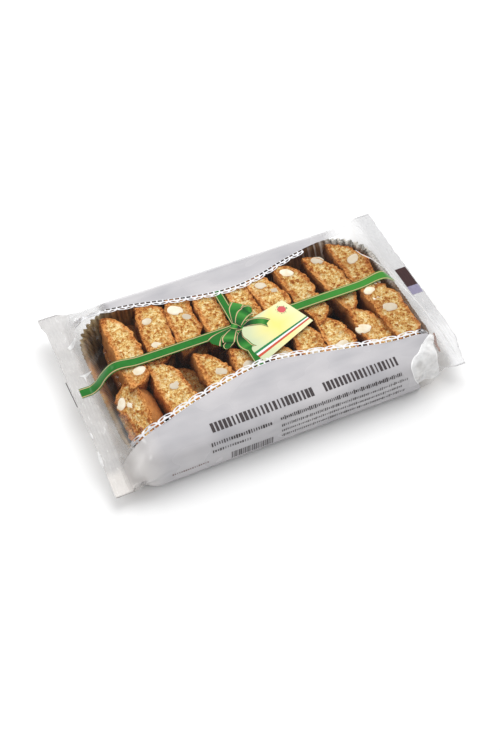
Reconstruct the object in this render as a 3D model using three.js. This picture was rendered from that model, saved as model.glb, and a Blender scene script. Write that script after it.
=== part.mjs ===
// A sealed tray pack of almond biscotti: clear film flow-wrapped round a shallow tray.
// The film is one closed bag, so it is one solid. A boxy body rises a little at both ends of the tray,
// falls over a shoulder at each end, and is pressed flat into two crimped seals at half its height.
// Units are millimetres. +X runs along the pack, +Y to its back, +Z up, and it lies on z = 0.
import * as THREE from "three";

// Driving dimensions of the body
const BODY_WIDTH = 144;
const BODY_OFFSET = -3.25; // the tray sits this far forward of the middle of the seals
const BODY_HEIGHT = 34.5;
const BELLY_HEIGHT = 17; // where the body is widest
const BASE_PRESS = 0.3; // how far the table flattens the base
const END_RISE = 2.6; // the end biscuits lift the film this much
const END_RISE_AT = 97; // distance of that rise from the middle
const END_RISE_RUN = 9;

// Driving dimensions of the seals
const SEAL_TO_SEAL = 258.6;
const SEAL_DEPTH = 11.3;
const SEAL_WIDTH = 151.5;
const SEAL_THICKNESS = 0.8;
const SEAL_HEIGHT = 19;
const BACK_LIFT = 1.5; // the back end of a seal stands a little higher
const FRONT_DROOP = { left: 9.5, right: 3 }; // and its front end hangs lower
const EAR = 2; // how far a corner of each seal sticks out
const EAR_WIDTH = 12;

// Where the body turns into the seals
const SHOULDER_RUN = 20; // length over which the top falls to the seal
const HEEL_RUN = 9; // length over which the base rises to it
const HEEL_CORNER_DELAY = 5; // the base's corners stay down a little longer
const FLARE_START = 80; // where the back wall begins to flare out to the seal's width
const TUCK_START = 86; // where the fold in the front wall's right end begins
const TUCK_DEPTH = 6;
const TUCK_HALF_HEIGHT = 10;

// The section is a superellipse, rounder above than below
const TOP_SQUARENESS = 4;
const BASE_SQUARENESS = 9;

// Mesh density
const AROUND = 72; // points round each section
const BODY_STEPS = 8; // sections on each half of the straight body
const SHOULDER_STEPS = 9;
const SEAL_STEPS = 2;
const TRACE = 4000; // fine points from which a section's even points are picked

const FILM_COLOUR = 0xe9e6e4;
const FILM_ROUGHNESS = 0.25;

const half = AROUND / 2;
const sealRoot = SEAL_TO_SEAL / 2 - SEAL_DEPTH;
const shoulderStart = sealRoot - SHOULDER_RUN;
const heelStart = sealRoot - HEEL_RUN;

const clamp01 = (value) => Math.min(1, Math.max(0, value));
const ease = (t) => (1 - Math.cos(Math.PI * clamp01(t))) / 2;
const mix = (a, b, share) => a + (b - a) * share;
const power = (value, exponent) => Math.sign(value) * Math.abs(value) ** exponent;

// One point of the body's section, at an angle that starts at the front and passes over the top.
function sectionPoint(angle) {
  const above = Math.sin(angle) >= 0;
  const exponent = 2 / (above ? TOP_SQUARENESS : BASE_SQUARENESS);
  const reach = above ? BODY_HEIGHT - BELLY_HEIGHT : BELLY_HEIGHT + BASE_PRESS;
  const y = (-BODY_WIDTH / 2) * power(Math.cos(angle), exponent);
  const z = BELLY_HEIGHT + reach * power(Math.sin(angle), exponent);
  return new THREE.Vector2(y, Math.max(0, z));
}

// Points spaced evenly along half of the section, from one side of the belly to the other.
function evenHalf(fromAngle) {
  const fine = Array.from({ length: TRACE + 1 }, (_, i) => sectionPoint(fromAngle + (Math.PI * i) / TRACE));
  const lengths = [0];
  for (let i = 1; i <= TRACE; i++) lengths.push(lengths[i - 1] + fine[i].distanceTo(fine[i - 1]));
  const points = [];
  let at = 0;
  for (let k = 0; k < half; k++) {
    const wanted = (lengths[TRACE] * k) / half;
    while (lengths[at + 1] < wanted) at++;
    const share = (wanted - lengths[at]) / (lengths[at + 1] - lengths[at]);
    points.push(fine[at].clone().lerp(fine[at + 1], share));
  }
  return points;
}

const topHalf = evenHalf(0);
const baseHalf = evenHalf(Math.PI);

// The flat seal's point that the k-th point of the body's section runs out to.
function sealPoint(side, k) {
  const above = k < half;
  const face = above ? 1 : -1;
  const y = face * ((k % half) / half - 0.5) * SEAL_WIDTH;
  const lift = BACK_LIFT * ease((y - 30) / (SEAL_WIDTH / 2 - 30));
  const droop = (side < 0 ? FRONT_DROOP.left : FRONT_DROOP.right) * ease((-y - 28) / (SEAL_WIDTH / 2 - 28));
  return new THREE.Vector2(y, SEAL_HEIGHT + lift - droop + (face * SEAL_THICKNESS) / 2);
}

// How much of the way from body to seal a point of the section has gone, sideways and in height.
function passage(out, point, above) {
  const corner = ease((Math.abs(point.x) - 40) / 30);
  const shoulder = clamp01((out - shoulderStart) / SHOULDER_RUN);
  const back = point.x > 0 ? corner : 0;
  const flare = back > 0 ? clamp01((out - FLARE_START) / (sealRoot - FLARE_START)) : shoulder;
  const delay = HEEL_CORNER_DELAY * corner;
  const fall = ease(shoulder ** (1.2 + 1.6 * back));
  const rise = ease((out - heelStart - delay) / (HEEL_RUN - delay));
  return { sideways: mix(ease(shoulder), ease(flare), back), upward: above ? fall : rise };
}

// How far the front wall folds in beside the right seal.
function tuck(x, point) {
  if (x < TUCK_START || point.x > -BODY_WIDTH * 0.4) return 0;
  const along = clamp01((x - TUCK_START) / (sealRoot - TUCK_START));
  const height = Math.exp(-(((point.y - BELLY_HEIGHT) / TUCK_HALF_HEIGHT) ** 2));
  return TUCK_DEPTH * Math.sin(Math.PI * along ** 0.7) ** 2 * height;
}

// The k-th point of the bag's section at x.
function bagPoint(x, k) {
  const side = Math.sign(x);
  const out = Math.abs(x);
  const above = k < half;
  const body = above ? topHalf[k] : baseHalf[k - half];
  const seal = sealPoint(side, k);
  const { sideways, upward } = passage(out, body, above);
  const inside = clamp01((BODY_WIDTH / 2 - Math.abs(body.x)) / 30);
  const bump = above ? END_RISE * inside * Math.exp(-(((out - END_RISE_AT) / END_RISE_RUN) ** 2)) : 0;
  const ear = EAR * ease((-side * seal.x - SEAL_WIDTH / 2 + EAR_WIDTH + 4) / EAR_WIDTH);
  return new THREE.Vector3(
    x + side * ear * clamp01((out - sealRoot) / SEAL_DEPTH),
    mix(body.x + BODY_OFFSET, seal.x, sideways) + tuck(x, body),
    mix(body.y + bump, seal.y, upward),
  );
}

// Where the sections lie along the pack, from its left seal to its right one.
function stations() {
  const right = [];
  for (let i = 1; i <= BODY_STEPS; i++) right.push((shoulderStart * i) / BODY_STEPS);
  for (let i = 1; i <= SHOULDER_STEPS; i++) right.push(shoulderStart + (SHOULDER_RUN * i) / SHOULDER_STEPS);
  for (let i = 1; i <= SEAL_STEPS; i++) right.push(sealRoot + (SEAL_DEPTH * i) / SEAL_STEPS);
  return [...right.map((x) => -x).reverse(), 0, ...right];
}

// Triangles that close one end of the bag, from the seal's upper face to its lower one.
function endFaces(firstIndex, turned) {
  const faces = [];
  const add = (a, b, c) => {
    const corners = [a, b, c].map((k) => firstIndex + (k % AROUND));
    faces.push(...(turned ? corners.reverse() : corners));
  };
  for (let k = 0; k < half; k++) {
    if (k < half - 1) add(k, k + 1, AROUND - k - 1);
    if (k > 0) add(k, AROUND - k - 1, AROUND - k);
  }
  return faces;
}

// Skins the sections into one closed mesh.
function bagGeometry() {
  const places = stations();
  const positions = [];
  for (const x of places) {
    for (let k = 0; k < AROUND; k++) positions.push(...bagPoint(x, k).toArray());
  }
  const faces = [];
  for (let station = 0; station < places.length - 1; station++) {
    for (let k = 0; k < AROUND; k++) {
      const [a, b] = [station * AROUND + k, station * AROUND + ((k + 1) % AROUND)];
      faces.push(a, a + AROUND, b + AROUND, a, b + AROUND, b);
    }
  }
  faces.push(...endFaces(0, false), ...endFaces((places.length - 1) * AROUND, true));
  const geometry = new THREE.BufferGeometry();
  geometry.setAttribute("position", new THREE.Float32BufferAttribute(positions, 3));
  geometry.setIndex(faces);
  geometry.computeVertexNormals();
  return geometry;
}

const film = new THREE.MeshStandardMaterial({
  color: FILM_COLOUR,
  roughness: FILM_ROUGHNESS,
  metalness: 0,
});
const bag = new THREE.Mesh(bagGeometry(), film);
bag.name = "film_bag";

const pack = new THREE.Group();
pack.add(bag);
export default pack;
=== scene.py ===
# %% [markdown]
# # A tray pack of almond biscotti
#
# On the real object a clear film bag, pressed flat into a seal at each end, is wrapped round a shallow
# pleated tray of gold board. Two layers of sliced almond biscuits fill the tray. White bands with a lace
# edge, a green ribbon with a bow, a cream tag and some dark print are printed on the film.
#
# The CAD model is one closed solid with the film's outer shape. This script keeps that shape as a
# formula, makes the film and its print on it, and puts the tray and the biscuits inside.

# %% Open the frame
import itertools
import math

import bmesh
import bpy
import numpy as np
from mathutils import Matrix, Vector


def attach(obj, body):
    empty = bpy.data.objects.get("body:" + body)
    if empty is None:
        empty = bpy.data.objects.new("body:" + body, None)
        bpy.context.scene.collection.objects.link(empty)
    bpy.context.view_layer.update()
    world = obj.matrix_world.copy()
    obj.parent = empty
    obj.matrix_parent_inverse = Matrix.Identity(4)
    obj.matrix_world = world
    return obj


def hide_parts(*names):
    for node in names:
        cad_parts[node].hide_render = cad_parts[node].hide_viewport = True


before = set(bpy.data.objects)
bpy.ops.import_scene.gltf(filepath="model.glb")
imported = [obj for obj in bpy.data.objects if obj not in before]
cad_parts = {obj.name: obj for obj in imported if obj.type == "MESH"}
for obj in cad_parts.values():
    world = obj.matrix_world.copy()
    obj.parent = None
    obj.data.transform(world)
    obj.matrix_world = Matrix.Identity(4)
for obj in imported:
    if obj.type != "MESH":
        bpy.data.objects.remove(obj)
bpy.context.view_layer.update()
MM = 0.001

# %% [markdown]
# ## The view and the light
#
# The pack lies on a white table and is seen from above its front left. Everything is pale, so the light
# has to be soft and wide. One big panel above and behind the pack lights the food and leaves the front
# wall in gentle shade. Gloss doesn't show it, because it would turn all the film over the food white.
# Two smaller panels, behind and on the left, give the film's edges their accents, and the white world
# fills the shadows. Standard colour management keeps white paper white.

# %% Camera
AIM = Vector((-15.5, -27.8, 20)) * MM
AZIMUTH, ELEVATION = math.radians(-24.2), math.radians(52.1)
DISTANCE = 735 * MM
LENS, SENSOR = 52.7, 36

scene = bpy.context.scene
scene.view_settings.view_transform = "Standard"
level = math.cos(ELEVATION)
backward = Vector((math.sin(AZIMUTH) * level, -math.cos(AZIMUTH) * level, math.sin(ELEVATION)))
camera = bpy.data.objects.new("camera", bpy.data.cameras.new("camera"))
camera.data.lens, camera.data.sensor_width = LENS, SENSOR
camera.location = AIM + backward * DISTANCE
camera.rotation_euler = backward.to_track_quat("Z", "Y").to_euler()
scene.collection.objects.link(camera)
scene.camera = camera

# %% Light panels and the white world
WORLD_STRENGTH = 0.5


def light_panel(name, place, size, power, mirrored=True):
    """A square area light at place, in metres, that faces the pack. Gloss may be told not to show it."""
    lamp = bpy.data.lights.new(name, "AREA")
    lamp.shape, lamp.size, lamp.energy = "SQUARE", size, power
    panel = bpy.data.objects.new(name, lamp)
    panel.location = place
    panel.rotation_euler = Vector(place).to_track_quat("Z", "Y").to_euler()
    panel.visible_glossy = mirrored
    scene.collection.objects.link(panel)


light_panel("panel_above", (0.45, 0.45, 1.3), 1.3, 19, mirrored=False)
light_panel("panel_back", (-0.8, 0.9, 1.0), 0.6, 3)
light_panel("panel_left", (-1.0, -0.4, 0.7), 0.5, 2.4)
world = bpy.data.worlds.new("white_room")
world.use_nodes = True
world.node_tree.nodes["Background"].inputs["Strength"].default_value = WORLD_STRENGTH
world.node_tree.nodes["Background"].inputs["Color"].default_value = (1, 1, 1, 1)
scene.world = world
print("camera", [round(c, 3) for c in camera.location])

# %% [markdown]
# ## Nodes written as sums
#
# Materials and Geometry Nodes are both sheets of nodes. A small class wraps one output of a node, and
# its operators add the Math nodes, so that a pattern reads like the sum that it is. Every other node
# comes from one method that takes its type, its settings and what goes into its sockets.


# %% A wire and a sheet
class Wire:
    """One output of a node, which can stand in a sum."""

    def __init__(self, sheet, socket):
        self.sheet, self.socket = sheet, socket

    def math(self, operation, *others):
        return self.sheet.node("ShaderNodeMath", {"operation": operation}, dict(enumerate((self, *others))))

    def __add__(self, other):
        return self.math("ADD", other)

    def __sub__(self, other):
        return self.math("SUBTRACT", other)

    def __rsub__(self, other):
        return self.math("MULTIPLY", -1).math("ADD", other)

    def __mul__(self, other):
        return self.math("MULTIPLY", other)

    def __pow__(self, other):
        return self.math("POWER", other)

    __radd__, __rmul__ = __add__, __mul__

    def clamp(self):
        return self.math("MAXIMUM", 0.0).math("MINIMUM", 1.0)

    def span(self, low, high):
        """0 where the wire is at low and 1 where it is at high."""
        return ((self - low) * (1 / (high - low))).clamp()

    def vector(self, operation, other):
        settings = {"operation": operation}
        return self.sheet.node("ShaderNodeVectorMath", settings, {0: self, 1: other})

    def scaled(self, amount):
        """The vector times a number."""
        return self.sheet.node("ShaderNodeVectorMath", {"operation": "SCALE"}, {0: self, "Scale": amount})

    def other(self, name):
        """Another output of the same node."""
        return Wire(self.sheet, self.socket.node.outputs[name])


class Sheet:
    """A sheet of nodes, of a material or of Geometry Nodes."""

    def __init__(self, tree):
        self.tree = tree

    def node(self, kind, settings=None, inputs=None, out=0):
        """Adds a node, sets it, fills or links its sockets, and returns one of its outputs."""
        node = self.tree.nodes.new(kind)
        for name, value in (settings or {}).items():
            if name == "stops":
                set_stops(node.color_ramp, value)
            else:
                setattr(node, name, value)
        for key, value in (inputs or {}).items():
            if isinstance(value, Wire):
                self.tree.links.new(value.socket, node.inputs[key])
            else:
                node.inputs[key].default_value = value
        return Wire(self, node.outputs[out]) if node.outputs else node


def set_stops(ramp, stops):
    """Gives a colour ramp its stops, a list of places and colours."""
    while len(ramp.elements) < len(stops):
        ramp.elements.new(1)
    for element, (place, colour) in zip(ramp.elements, stops):
        element.position, element.color = place, (*colour, 1)


# %% A finish is a sheet round one Principled shader
class Finish(Sheet):
    """A material under way. settings fixes sockets that are the same all over the surface."""

    def __init__(self, name, **settings):
        self.material = bpy.data.materials.new(name)
        self.material.use_nodes = True
        super().__init__(self.material.node_tree)
        self.shader = self.tree.nodes["Principled BSDF"]
        for key, value in settings.items():
            self.shader.inputs[key.replace("_", " ")].default_value = value
        self.place = self.node("ShaderNodeTexCoord", out=3)

    def axes(self, place=None):
        """x, y and z of a place, which is the Object coordinates where none is given."""
        x = self.node("ShaderNodeSeparateXYZ", {}, {0: place or self.place})
        return x, x.other("Y"), x.other("Z")

    def feed(self, **inputs):
        """Links wires to the shader's sockets."""
        for key, wire in inputs.items():
            self.tree.links.new(wire.socket, self.shader.inputs[key.replace("_", " ")])

    def noise(self, size, detail=2, roughness=0.5, stretch=(1, 1, 1)):
        """Smooth noise from 0 to 1 with bumps of about that many mm, on Object coordinates."""
        place = self.place.vector("MULTIPLY", stretch)
        inputs = {"Vector": place, "Scale": 1 / (size * MM), "Detail": detail, "Roughness": roughness}
        return self.node("ShaderNodeTexNoise", {}, inputs)

    def mask(self, name):
        """A number that the piece's mesh keeps for each corner point."""
        return self.node("ShaderNodeAttribute", {"attribute_name": name}, out=2)

    def colours(self, wire, stops):
        return self.node("ShaderNodeValToRGB", {"stops": stops}, {0: wire})

    def mix(self, share, first, second):
        """From the first colour to the second as share goes from 0 to 1."""
        colours = [c if isinstance(c, Wire) else (*c, 1) for c in (first, second)]
        inputs = {0: share, 6: colours[0], 7: colours[1]}
        return self.node("ShaderNodeMix", {"data_type": "RGBA"}, inputs, out=2)

    def bump(self, height, depth, strength=1.0):
        """Relief of that many mm."""
        inputs = {"Height": height, "Distance": depth * MM, "Strength": strength}
        self.feed(Normal=self.node("ShaderNodeBump", {}, inputs))

    def see_through(self, cover):
        """Shows the shader only where cover is 1, and what lies behind where it is 0."""
        clear = self.node("ShaderNodeBsdfTransparent")
        solid = Wire(self, self.shader.outputs[0])
        mixed = self.node("ShaderNodeMixShader", {}, {0: cover, 1: clear, 2: solid})
        self.tree.links.new(mixed.socket, self.tree.nodes["Material Output"].inputs["Surface"])


# %% [markdown]
# ## Meshes from arrays
#
# Film, ribbon and biscuits are all nets of points that follow a rule, so numpy works out the points of a
# whole net at once, and one function turns it into a mesh. Random shapes come from value noise: a table of
# random numbers, read smoothly between its cells. Every table has a fixed seed. Closed meshes are merged
# and have their normals turned outwards by one helper.

# %% Helpers for meshes and noise
pieces = []
NOISE_CELLS = 48


def ease(t):
    return (1 - np.cos(np.pi * np.clip(t, 0, 1))) / 2


def span(value, low, high):
    return np.clip((value - low) / (high - low), 0, 1)


def noise(points, size, seed):
    """Smooth random numbers from -1 to 1, with bumps about size mm across."""
    table = np.random.default_rng(seed).uniform(-1, 1, (NOISE_CELLS,) * 3)
    spot = np.asarray(points, float) / size
    cell = np.floor(spot).astype(int)
    part = spot - cell
    part = part * part * (3 - 2 * part)
    total = 0
    for corner in itertools.product((0, 1), repeat=3):
        weight = np.prod(np.where(corner, part, 1 - part), axis=-1)
        total = total + weight * table[tuple(np.moveaxis((cell + corner) % NOISE_CELLS, -1, 0))]
    return total


def net_faces(rows, columns, closed=False):
    """Quads of a net of points, listed row by row. A closed net joins its last column to its first."""
    row = np.arange(rows - 1)[:, None] * columns
    column = np.arange(columns if closed else columns - 1)[None, :]
    after = (column + 1) % columns
    corners = (row + column, row + after, row + columns + after, row + columns + column)
    return np.stack(np.broadcast_arrays(*corners), axis=-1).reshape(-1, 4)


def points_of(thing):
    """The points of a mesh object, in mm."""
    return np.array([vertex.co[:] for vertex in thing.data.vertices]) / MM


def move_points(thing, points):
    thing.data.vertices.foreach_set("co", (points * MM).ravel())


def face_outwards(thing):
    """Recalculates a closed mesh's normals after merging its doubles."""
    work = bmesh.new()
    work.from_mesh(thing.data)
    bmesh.ops.remove_doubles(work, verts=work.verts, dist=0.005 * MM)
    bmesh.ops.recalc_face_normals(work, faces=work.faces)
    work.to_mesh(thing.data)
    work.free()


def piece(name, points, faces, slot, finish, masks=None, uv=None):
    """Makes a smooth mesh piece from points in mm, and notes it with its slot in the list of pieces."""
    mesh = bpy.data.meshes.new(name)
    mesh.from_pydata(np.asarray(points).reshape(-1, 3) * MM, [], [list(map(int, face)) for face in faces])
    for key, values in (masks or {}).items():
        layer = mesh.attributes.new(key, "FLOAT", "POINT")
        layer.data.foreach_set("value", np.asarray(values, np.float32).ravel())
    if uv is not None:
        corners = np.zeros(len(mesh.loops), int)
        mesh.loops.foreach_get("vertex_index", corners)
        layer = mesh.uv_layers.new(name="UVMap")
        layer.uv.foreach_set("vector", np.asarray(uv, np.float32).reshape(-1, 2)[corners].ravel())
    mesh.shade_smooth()
    thing = bpy.data.objects.new(name, mesh)
    scene.collection.objects.link(thing)
    thing.data.materials.append(finish.material)
    pieces.append((thing, slot))
    return thing


# %% [markdown]
# ## The shape of the film
#
# The section of the pack is a superellipse: round at the top, nearly square at the table. Towards each
# end it is drawn out into a flat seal at half the height. The same sums as in the CAD model are used, so
# a point of the film is found from two numbers: x along the pack, and s, the distance round the section
# from the middle of the top, towards the back. Anything printed is drawn flat in x and s, and then
# laid on the film.

# %% Driving dimensions of the film
BODY_WIDTH, BODY_OFFSET, BODY_HEIGHT = 144, -3.25, 34.5
BELLY_HEIGHT, BASE_PRESS = 17, 0.3
TOP_SQUARENESS, BASE_SQUARENESS = 4, 9
END_RISE, END_RISE_AT, END_RISE_RUN = 2.6, 97, 9
SEAL_TO_SEAL, SEAL_DEPTH, SEAL_WIDTH, SEAL_HEIGHT = 258.6, 11.3, 151.5, 19
FILM_GAP = 0.5
BACK_LIFT, LEFT_DROOP, RIGHT_DROOP = 1.5, 9.5, 3
EAR, EAR_WIDTH = 2, 12
SHOULDER_RUN, HEEL_RUN, HEEL_CORNER_DELAY, FLARE_START = 20, 9, 5, 80
TUCK_START, TUCK_DEPTH, TUCK_HALF_HEIGHT = 86, 6, 10
DROOP_FROM, LIFT_FROM = 28, 30  # distance from the middle line where a seal begins to bend
CORNER_FROM, CORNER_RUN, INNER_RUN = 40, 30, 30
FALL, FALL_AT_BACK = 1.2, 1.6  # how late the top falls to the seal
SEAL_ROOT = SEAL_TO_SEAL / 2 - SEAL_DEPTH
SHOULDER = SEAL_ROOT - SHOULDER_RUN
HEEL = SEAL_ROOT - HEEL_RUN
TRACE = 4000


def trace_half(start, squareness, reach):
    """Lengths, y and z along half of the section, from one side of the belly to the other."""
    angle = np.linspace(start, start + np.pi, TRACE + 1)
    cosine, sine = np.cos(angle), np.sin(angle)
    y = -BODY_WIDTH / 2 * np.sign(cosine) * np.abs(cosine) ** (2 / squareness)
    z = BELLY_HEIGHT + reach * np.sign(sine) * np.abs(sine) ** (2 / squareness)
    z = np.maximum(z, 0)
    steps = np.hypot(np.diff(y), np.diff(z))
    return np.concatenate([[0], np.cumsum(steps)]), y, z


top_trace = trace_half(0, TOP_SQUARENESS, BODY_HEIGHT - BELLY_HEIGHT)
base_trace = trace_half(np.pi, BASE_SQUARENESS, BELLY_HEIGHT + BASE_PRESS)
TOP_GIRTH, BASE_GIRTH = top_trace[0][-1], base_trace[0][-1]
print("girth over the top", round(TOP_GIRTH, 1), "and under the base", round(BASE_GIRTH, 1))


# %% A point of the smooth film
def smooth_film(x, s):
    """Points of the film at x and s."""
    x, s = np.broadcast_arrays(np.asarray(x, float), np.asarray(s, float))
    above = np.abs(s) <= TOP_GIRTH / 2
    share = 0.5 + s / TOP_GIRTH
    under = (np.abs(s) - TOP_GIRTH / 2) / BASE_GIRTH
    under = np.where(s > 0, under, 1 - under)
    (top_length, top_y, top_z), (base_length, base_y, base_z) = top_trace, base_trace
    y = np.where(above, np.interp(share * TOP_GIRTH, top_length, top_y), 0)
    y = np.where(above, y, np.interp(under * BASE_GIRTH, base_length, base_y))
    z = np.where(above, np.interp(share * TOP_GIRTH, top_length, top_z), 0)
    z = np.where(above, z, np.interp(under * BASE_GIRTH, base_length, base_z))
    side, out = np.sign(x), np.abs(x)

    seal_y = np.where(above, share - 0.5, 0.5 - under) * SEAL_WIDTH
    droop = np.where(x < 0, LEFT_DROOP, RIGHT_DROOP)
    droop = droop * ease((-seal_y - DROOP_FROM) / (SEAL_WIDTH / 2 - DROOP_FROM))
    lift = BACK_LIFT * ease((seal_y - LIFT_FROM) / (SEAL_WIDTH / 2 - LIFT_FROM))
    seal_z = SEAL_HEIGHT + lift - droop + np.where(above, 0.5, -0.5) * FILM_GAP

    corner = ease((np.abs(y) - CORNER_FROM) / CORNER_RUN)
    back = np.where(y > 0, corner, 0)
    shoulder = span(out, SHOULDER, SEAL_ROOT)
    flare = ease(np.where(back > 0, span(out, FLARE_START, SEAL_ROOT), shoulder))
    sideways = ease(shoulder) + (flare - ease(shoulder)) * back
    delay = HEEL_CORNER_DELAY * corner
    fall = ease(shoulder ** (FALL + FALL_AT_BACK * back))
    rise = ease((out - HEEL - delay) / (HEEL_RUN - delay))
    upward = np.where(above, fall, rise)

    inside = span(BODY_WIDTH / 2 - np.abs(y), 0, INNER_RUN)
    bump = np.where(above, END_RISE * inside * np.exp(-(((out - END_RISE_AT) / END_RISE_RUN) ** 2)), 0)
    along = span(x, TUCK_START, SEAL_ROOT)
    height = np.exp(-(((z - BELLY_HEIGHT) / TUCK_HALF_HEIGHT) ** 2))
    fold = TUCK_DEPTH * np.sin(np.pi * along**0.7) ** 2 * height
    fold = np.where((x < TUCK_START) | (y > -BODY_WIDTH * 0.4), 0, fold)
    ear = EAR * ease((-side * seal_y - SEAL_WIDTH / 2 + EAR_WIDTH + 4) / EAR_WIDTH)
    return np.stack(
        [
            x + side * ear * span(out, SEAL_ROOT, SEAL_ROOT + SEAL_DEPTH),
            y + BODY_OFFSET + (seal_y - y - BODY_OFFSET) * sideways + fold,
            z + bump + (seal_z - z - bump) * upward,
        ],
        axis=-1,
    )


# %% [markdown]
# ## Wrinkles
#
# Tight film is never quite flat. Over the biscuits it undulates a little, at the shoulders it gathers
# into folds that run towards the seal, and the sealing jaws leave grooves along each seal. All of it
# is a small offset along the film's normal, the same for the film and for what is printed on it.

# %% Wrinkles, and a point of the real film
SWELL, SWELL_SIZE = 0.35, 26
CRINKLE, CRINKLE_SIZE = 0.14, 7
GATHER, GATHER_PITCH = 0.7, 15
GROOVE, GROOVE_PITCH = 0.12, 2.2
GATHER_FROM, GATHER_TO = (84, 104), (112, 118)  # where the folds set in and die out
BEND, BEND_SIZE = 5, 30  # how much the folds wander


def wrinkles(x, s, z):
    """How far the real film stands off the smooth one."""
    flat = np.stack(np.broadcast_arrays(x, s, 0.0), axis=-1)
    out = np.abs(x)
    ends = span(out, *GATHER_FROM) * (1 - span(out, *GATHER_TO))
    bends = noise(flat, BEND_SIZE, 11) * BEND
    gather = GATHER * ends * np.sin(2 * np.pi * (s + bends) / GATHER_PITCH + out / 9)
    seal = span(out, SEAL_ROOT, SEAL_ROOT + 1)
    groove = GROOVE * seal * np.cos(2 * np.pi * (out - SEAL_ROOT) / GROOVE_PITCH)
    body = SWELL * noise(flat, SWELL_SIZE, 12) + CRINKLE * noise(flat, CRINKLE_SIZE, 13) * (0.4 + 2 * ends)
    return (body * (1 - seal) + gather * span(z, 5, 16) + groove) * span(z, 2, 9)


def film_at(x, s, lift=0.0):
    """Points of the real film at x and s, lifted off it by that many mm."""
    step = 0.4
    place = smooth_film(x, s)
    along = smooth_film(x + step, s) - smooth_film(x - step, s)
    across = smooth_film(x, s + step) - smooth_film(x, s - step)
    normal = np.cross(along, across)
    normal /= np.linalg.norm(normal, axis=-1, keepdims=True) + 1e-9
    return place + normal * (wrinkles(x, s, place[..., 2]) + lift)[..., None]


def round_at(y):
    """s of a place on the top, at distance y from the body's middle line."""
    return np.interp(y, top_trace[1], top_trace[0]) - TOP_GIRTH / 2


def down_at(z):
    """s of a place on the front wall, at height z."""
    middle = TRACE // 2
    upper = np.interp(z, top_trace[2][:middle], top_trace[0][:middle]) - TOP_GIRTH / 2
    lower = np.interp(z, base_trace[2][middle:], base_trace[0][middle:]) - BASE_GIRTH - TOP_GIRTH / 2
    return np.where(np.asarray(z) >= BELLY_HEIGHT, upper, lower)


print("front wall: s is", [round(float(down_at(z)), 1) for z in (33, 28, 17, 4)], "at z 33, 28, 17, 4")

# %% [markdown]
# ## The clear film
#
# The bag is one closed net: stations along x, finest at the seals, and points round the section. Film
# this thin is nearly invisible face on. It shows by what it reflects, and by a milky haze where it is
# gathered, creased or sealed. The shader therefore mixes a clear one with a white one. Where haze is
# low the white one is a mirror, so only gloss shows, and where haze is high it is matt.

# %% The finish of the film
HAZE_OVER_TRAY, HAZE_AT_SHOULDER, HAZE_AT_SEAL = 0.04, 0.2, 0.3
MILK_HAZE = 0.22  # what the milky folds add
BACK_CORNER_HAZE = 0.16
LEFT_MILK, LEFT_CORNER_MILK = 0.45, 0.9
RIGHT_SHOULDER_SHIFT = 5  # the film stays clear this much further out at the right end


def film_finish():
    finish = Finish("clear_film", IOR=1.5)
    haze, milk = finish.mask("haze"), finish.mask("milk")
    cloud = finish.noise(14, 3, 0.6)
    facing = finish.node("ShaderNodeLayerWeight", {}, {"Blend": 0.35}, out=1)
    # painted glints: white specks on the hazy seals and shoulders, where ridges of film catch the light
    painted_glints = finish.noise(1.7, 2, 0.6, (1, 0.25, 1)).span(0.6, 0.75) * haze.span(0.12, 0.3)
    finish.see_through((haze * (0.75 + cloud * 0.5) + facing**3 * 0.25 + painted_glints * 0.12).clamp())
    finish.feed(Metallic=1 - haze.span(0.06, 0.3), Roughness=0.08 + haze * 0.5)
    tone = finish.mix(cloud.span(0.35, 0.7), (0.36, 0.36, 0.375), (0.55, 0.55, 0.56))
    x, _, _ = finish.axes()
    # painted shade: the milky film is a little warmer and darker towards the left end, which faces away from
    # the main light
    milky = finish.mix(x.span(-0.02, 0.02), (0.84, 0.805, 0.775), (0.84, 0.84, 0.85))
    tone = finish.mix(milk, tone, milky)
    # the painted glints whiten the film's tone
    tone = finish.mix(painted_glints * 0.5, tone, (0.95, 0.95, 0.95))
    finish.feed(Base_Color=tone)
    finish.bump(finish.noise(4, 2, 0.5), 0.08, 0.4)
    return finish


# %% The bag
HALF_COLUMNS = 84
BODY_STATIONS, SHOULDER_STATIONS, SEAL_STATIONS = 30, 39, 25


def film_stations():
    """Places along x, close together where the film is folded."""
    body = np.linspace(0, FLARE_START, BODY_STATIONS)
    shoulder = np.linspace(FLARE_START, SEAL_ROOT, SHOULDER_STATIONS)[1:]
    seal = np.linspace(SEAL_ROOT, SEAL_TO_SEAL / 2, SEAL_STATIONS)[1:]
    right = np.concatenate([body, shoulder, seal])
    return np.concatenate([-right[:0:-1], right])


def girth_columns():
    """Values of s round the section, in the order front, top, back, base."""
    share = np.arange(HALF_COLUMNS) / HALF_COLUMNS
    top = (share - 0.5) * TOP_GIRTH
    back, front = TOP_GIRTH / 2 + share * BASE_GIRTH, (share - 1) * BASE_GIRTH - TOP_GIRTH / 2
    return np.concatenate([top, np.where(share <= 0.5, back, front)])


def end_faces(first, turned):
    """Faces that close an end of the bag, between the upper and the lower film."""
    count = 2 * HALF_COLUMNS
    faces = []
    for k in range(HALF_COLUMNS):
        corners = [k, k + 1, (count - k - 1) % count, (count - k) % count]
        corners = list(dict.fromkeys(first + c for c in corners))
        if len(corners) > 2:
            faces.append(corners[::-1] if turned else corners)
    return faces


# %% Masks, torn edges and the bag itself
RAGGED, RAGGED_SIZE, RAGGED_FROM = 0.9, 2.5, 125  # the seals' torn outer edges
CORNER_CUT = 6  # the front corner on the right is cut back


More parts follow.
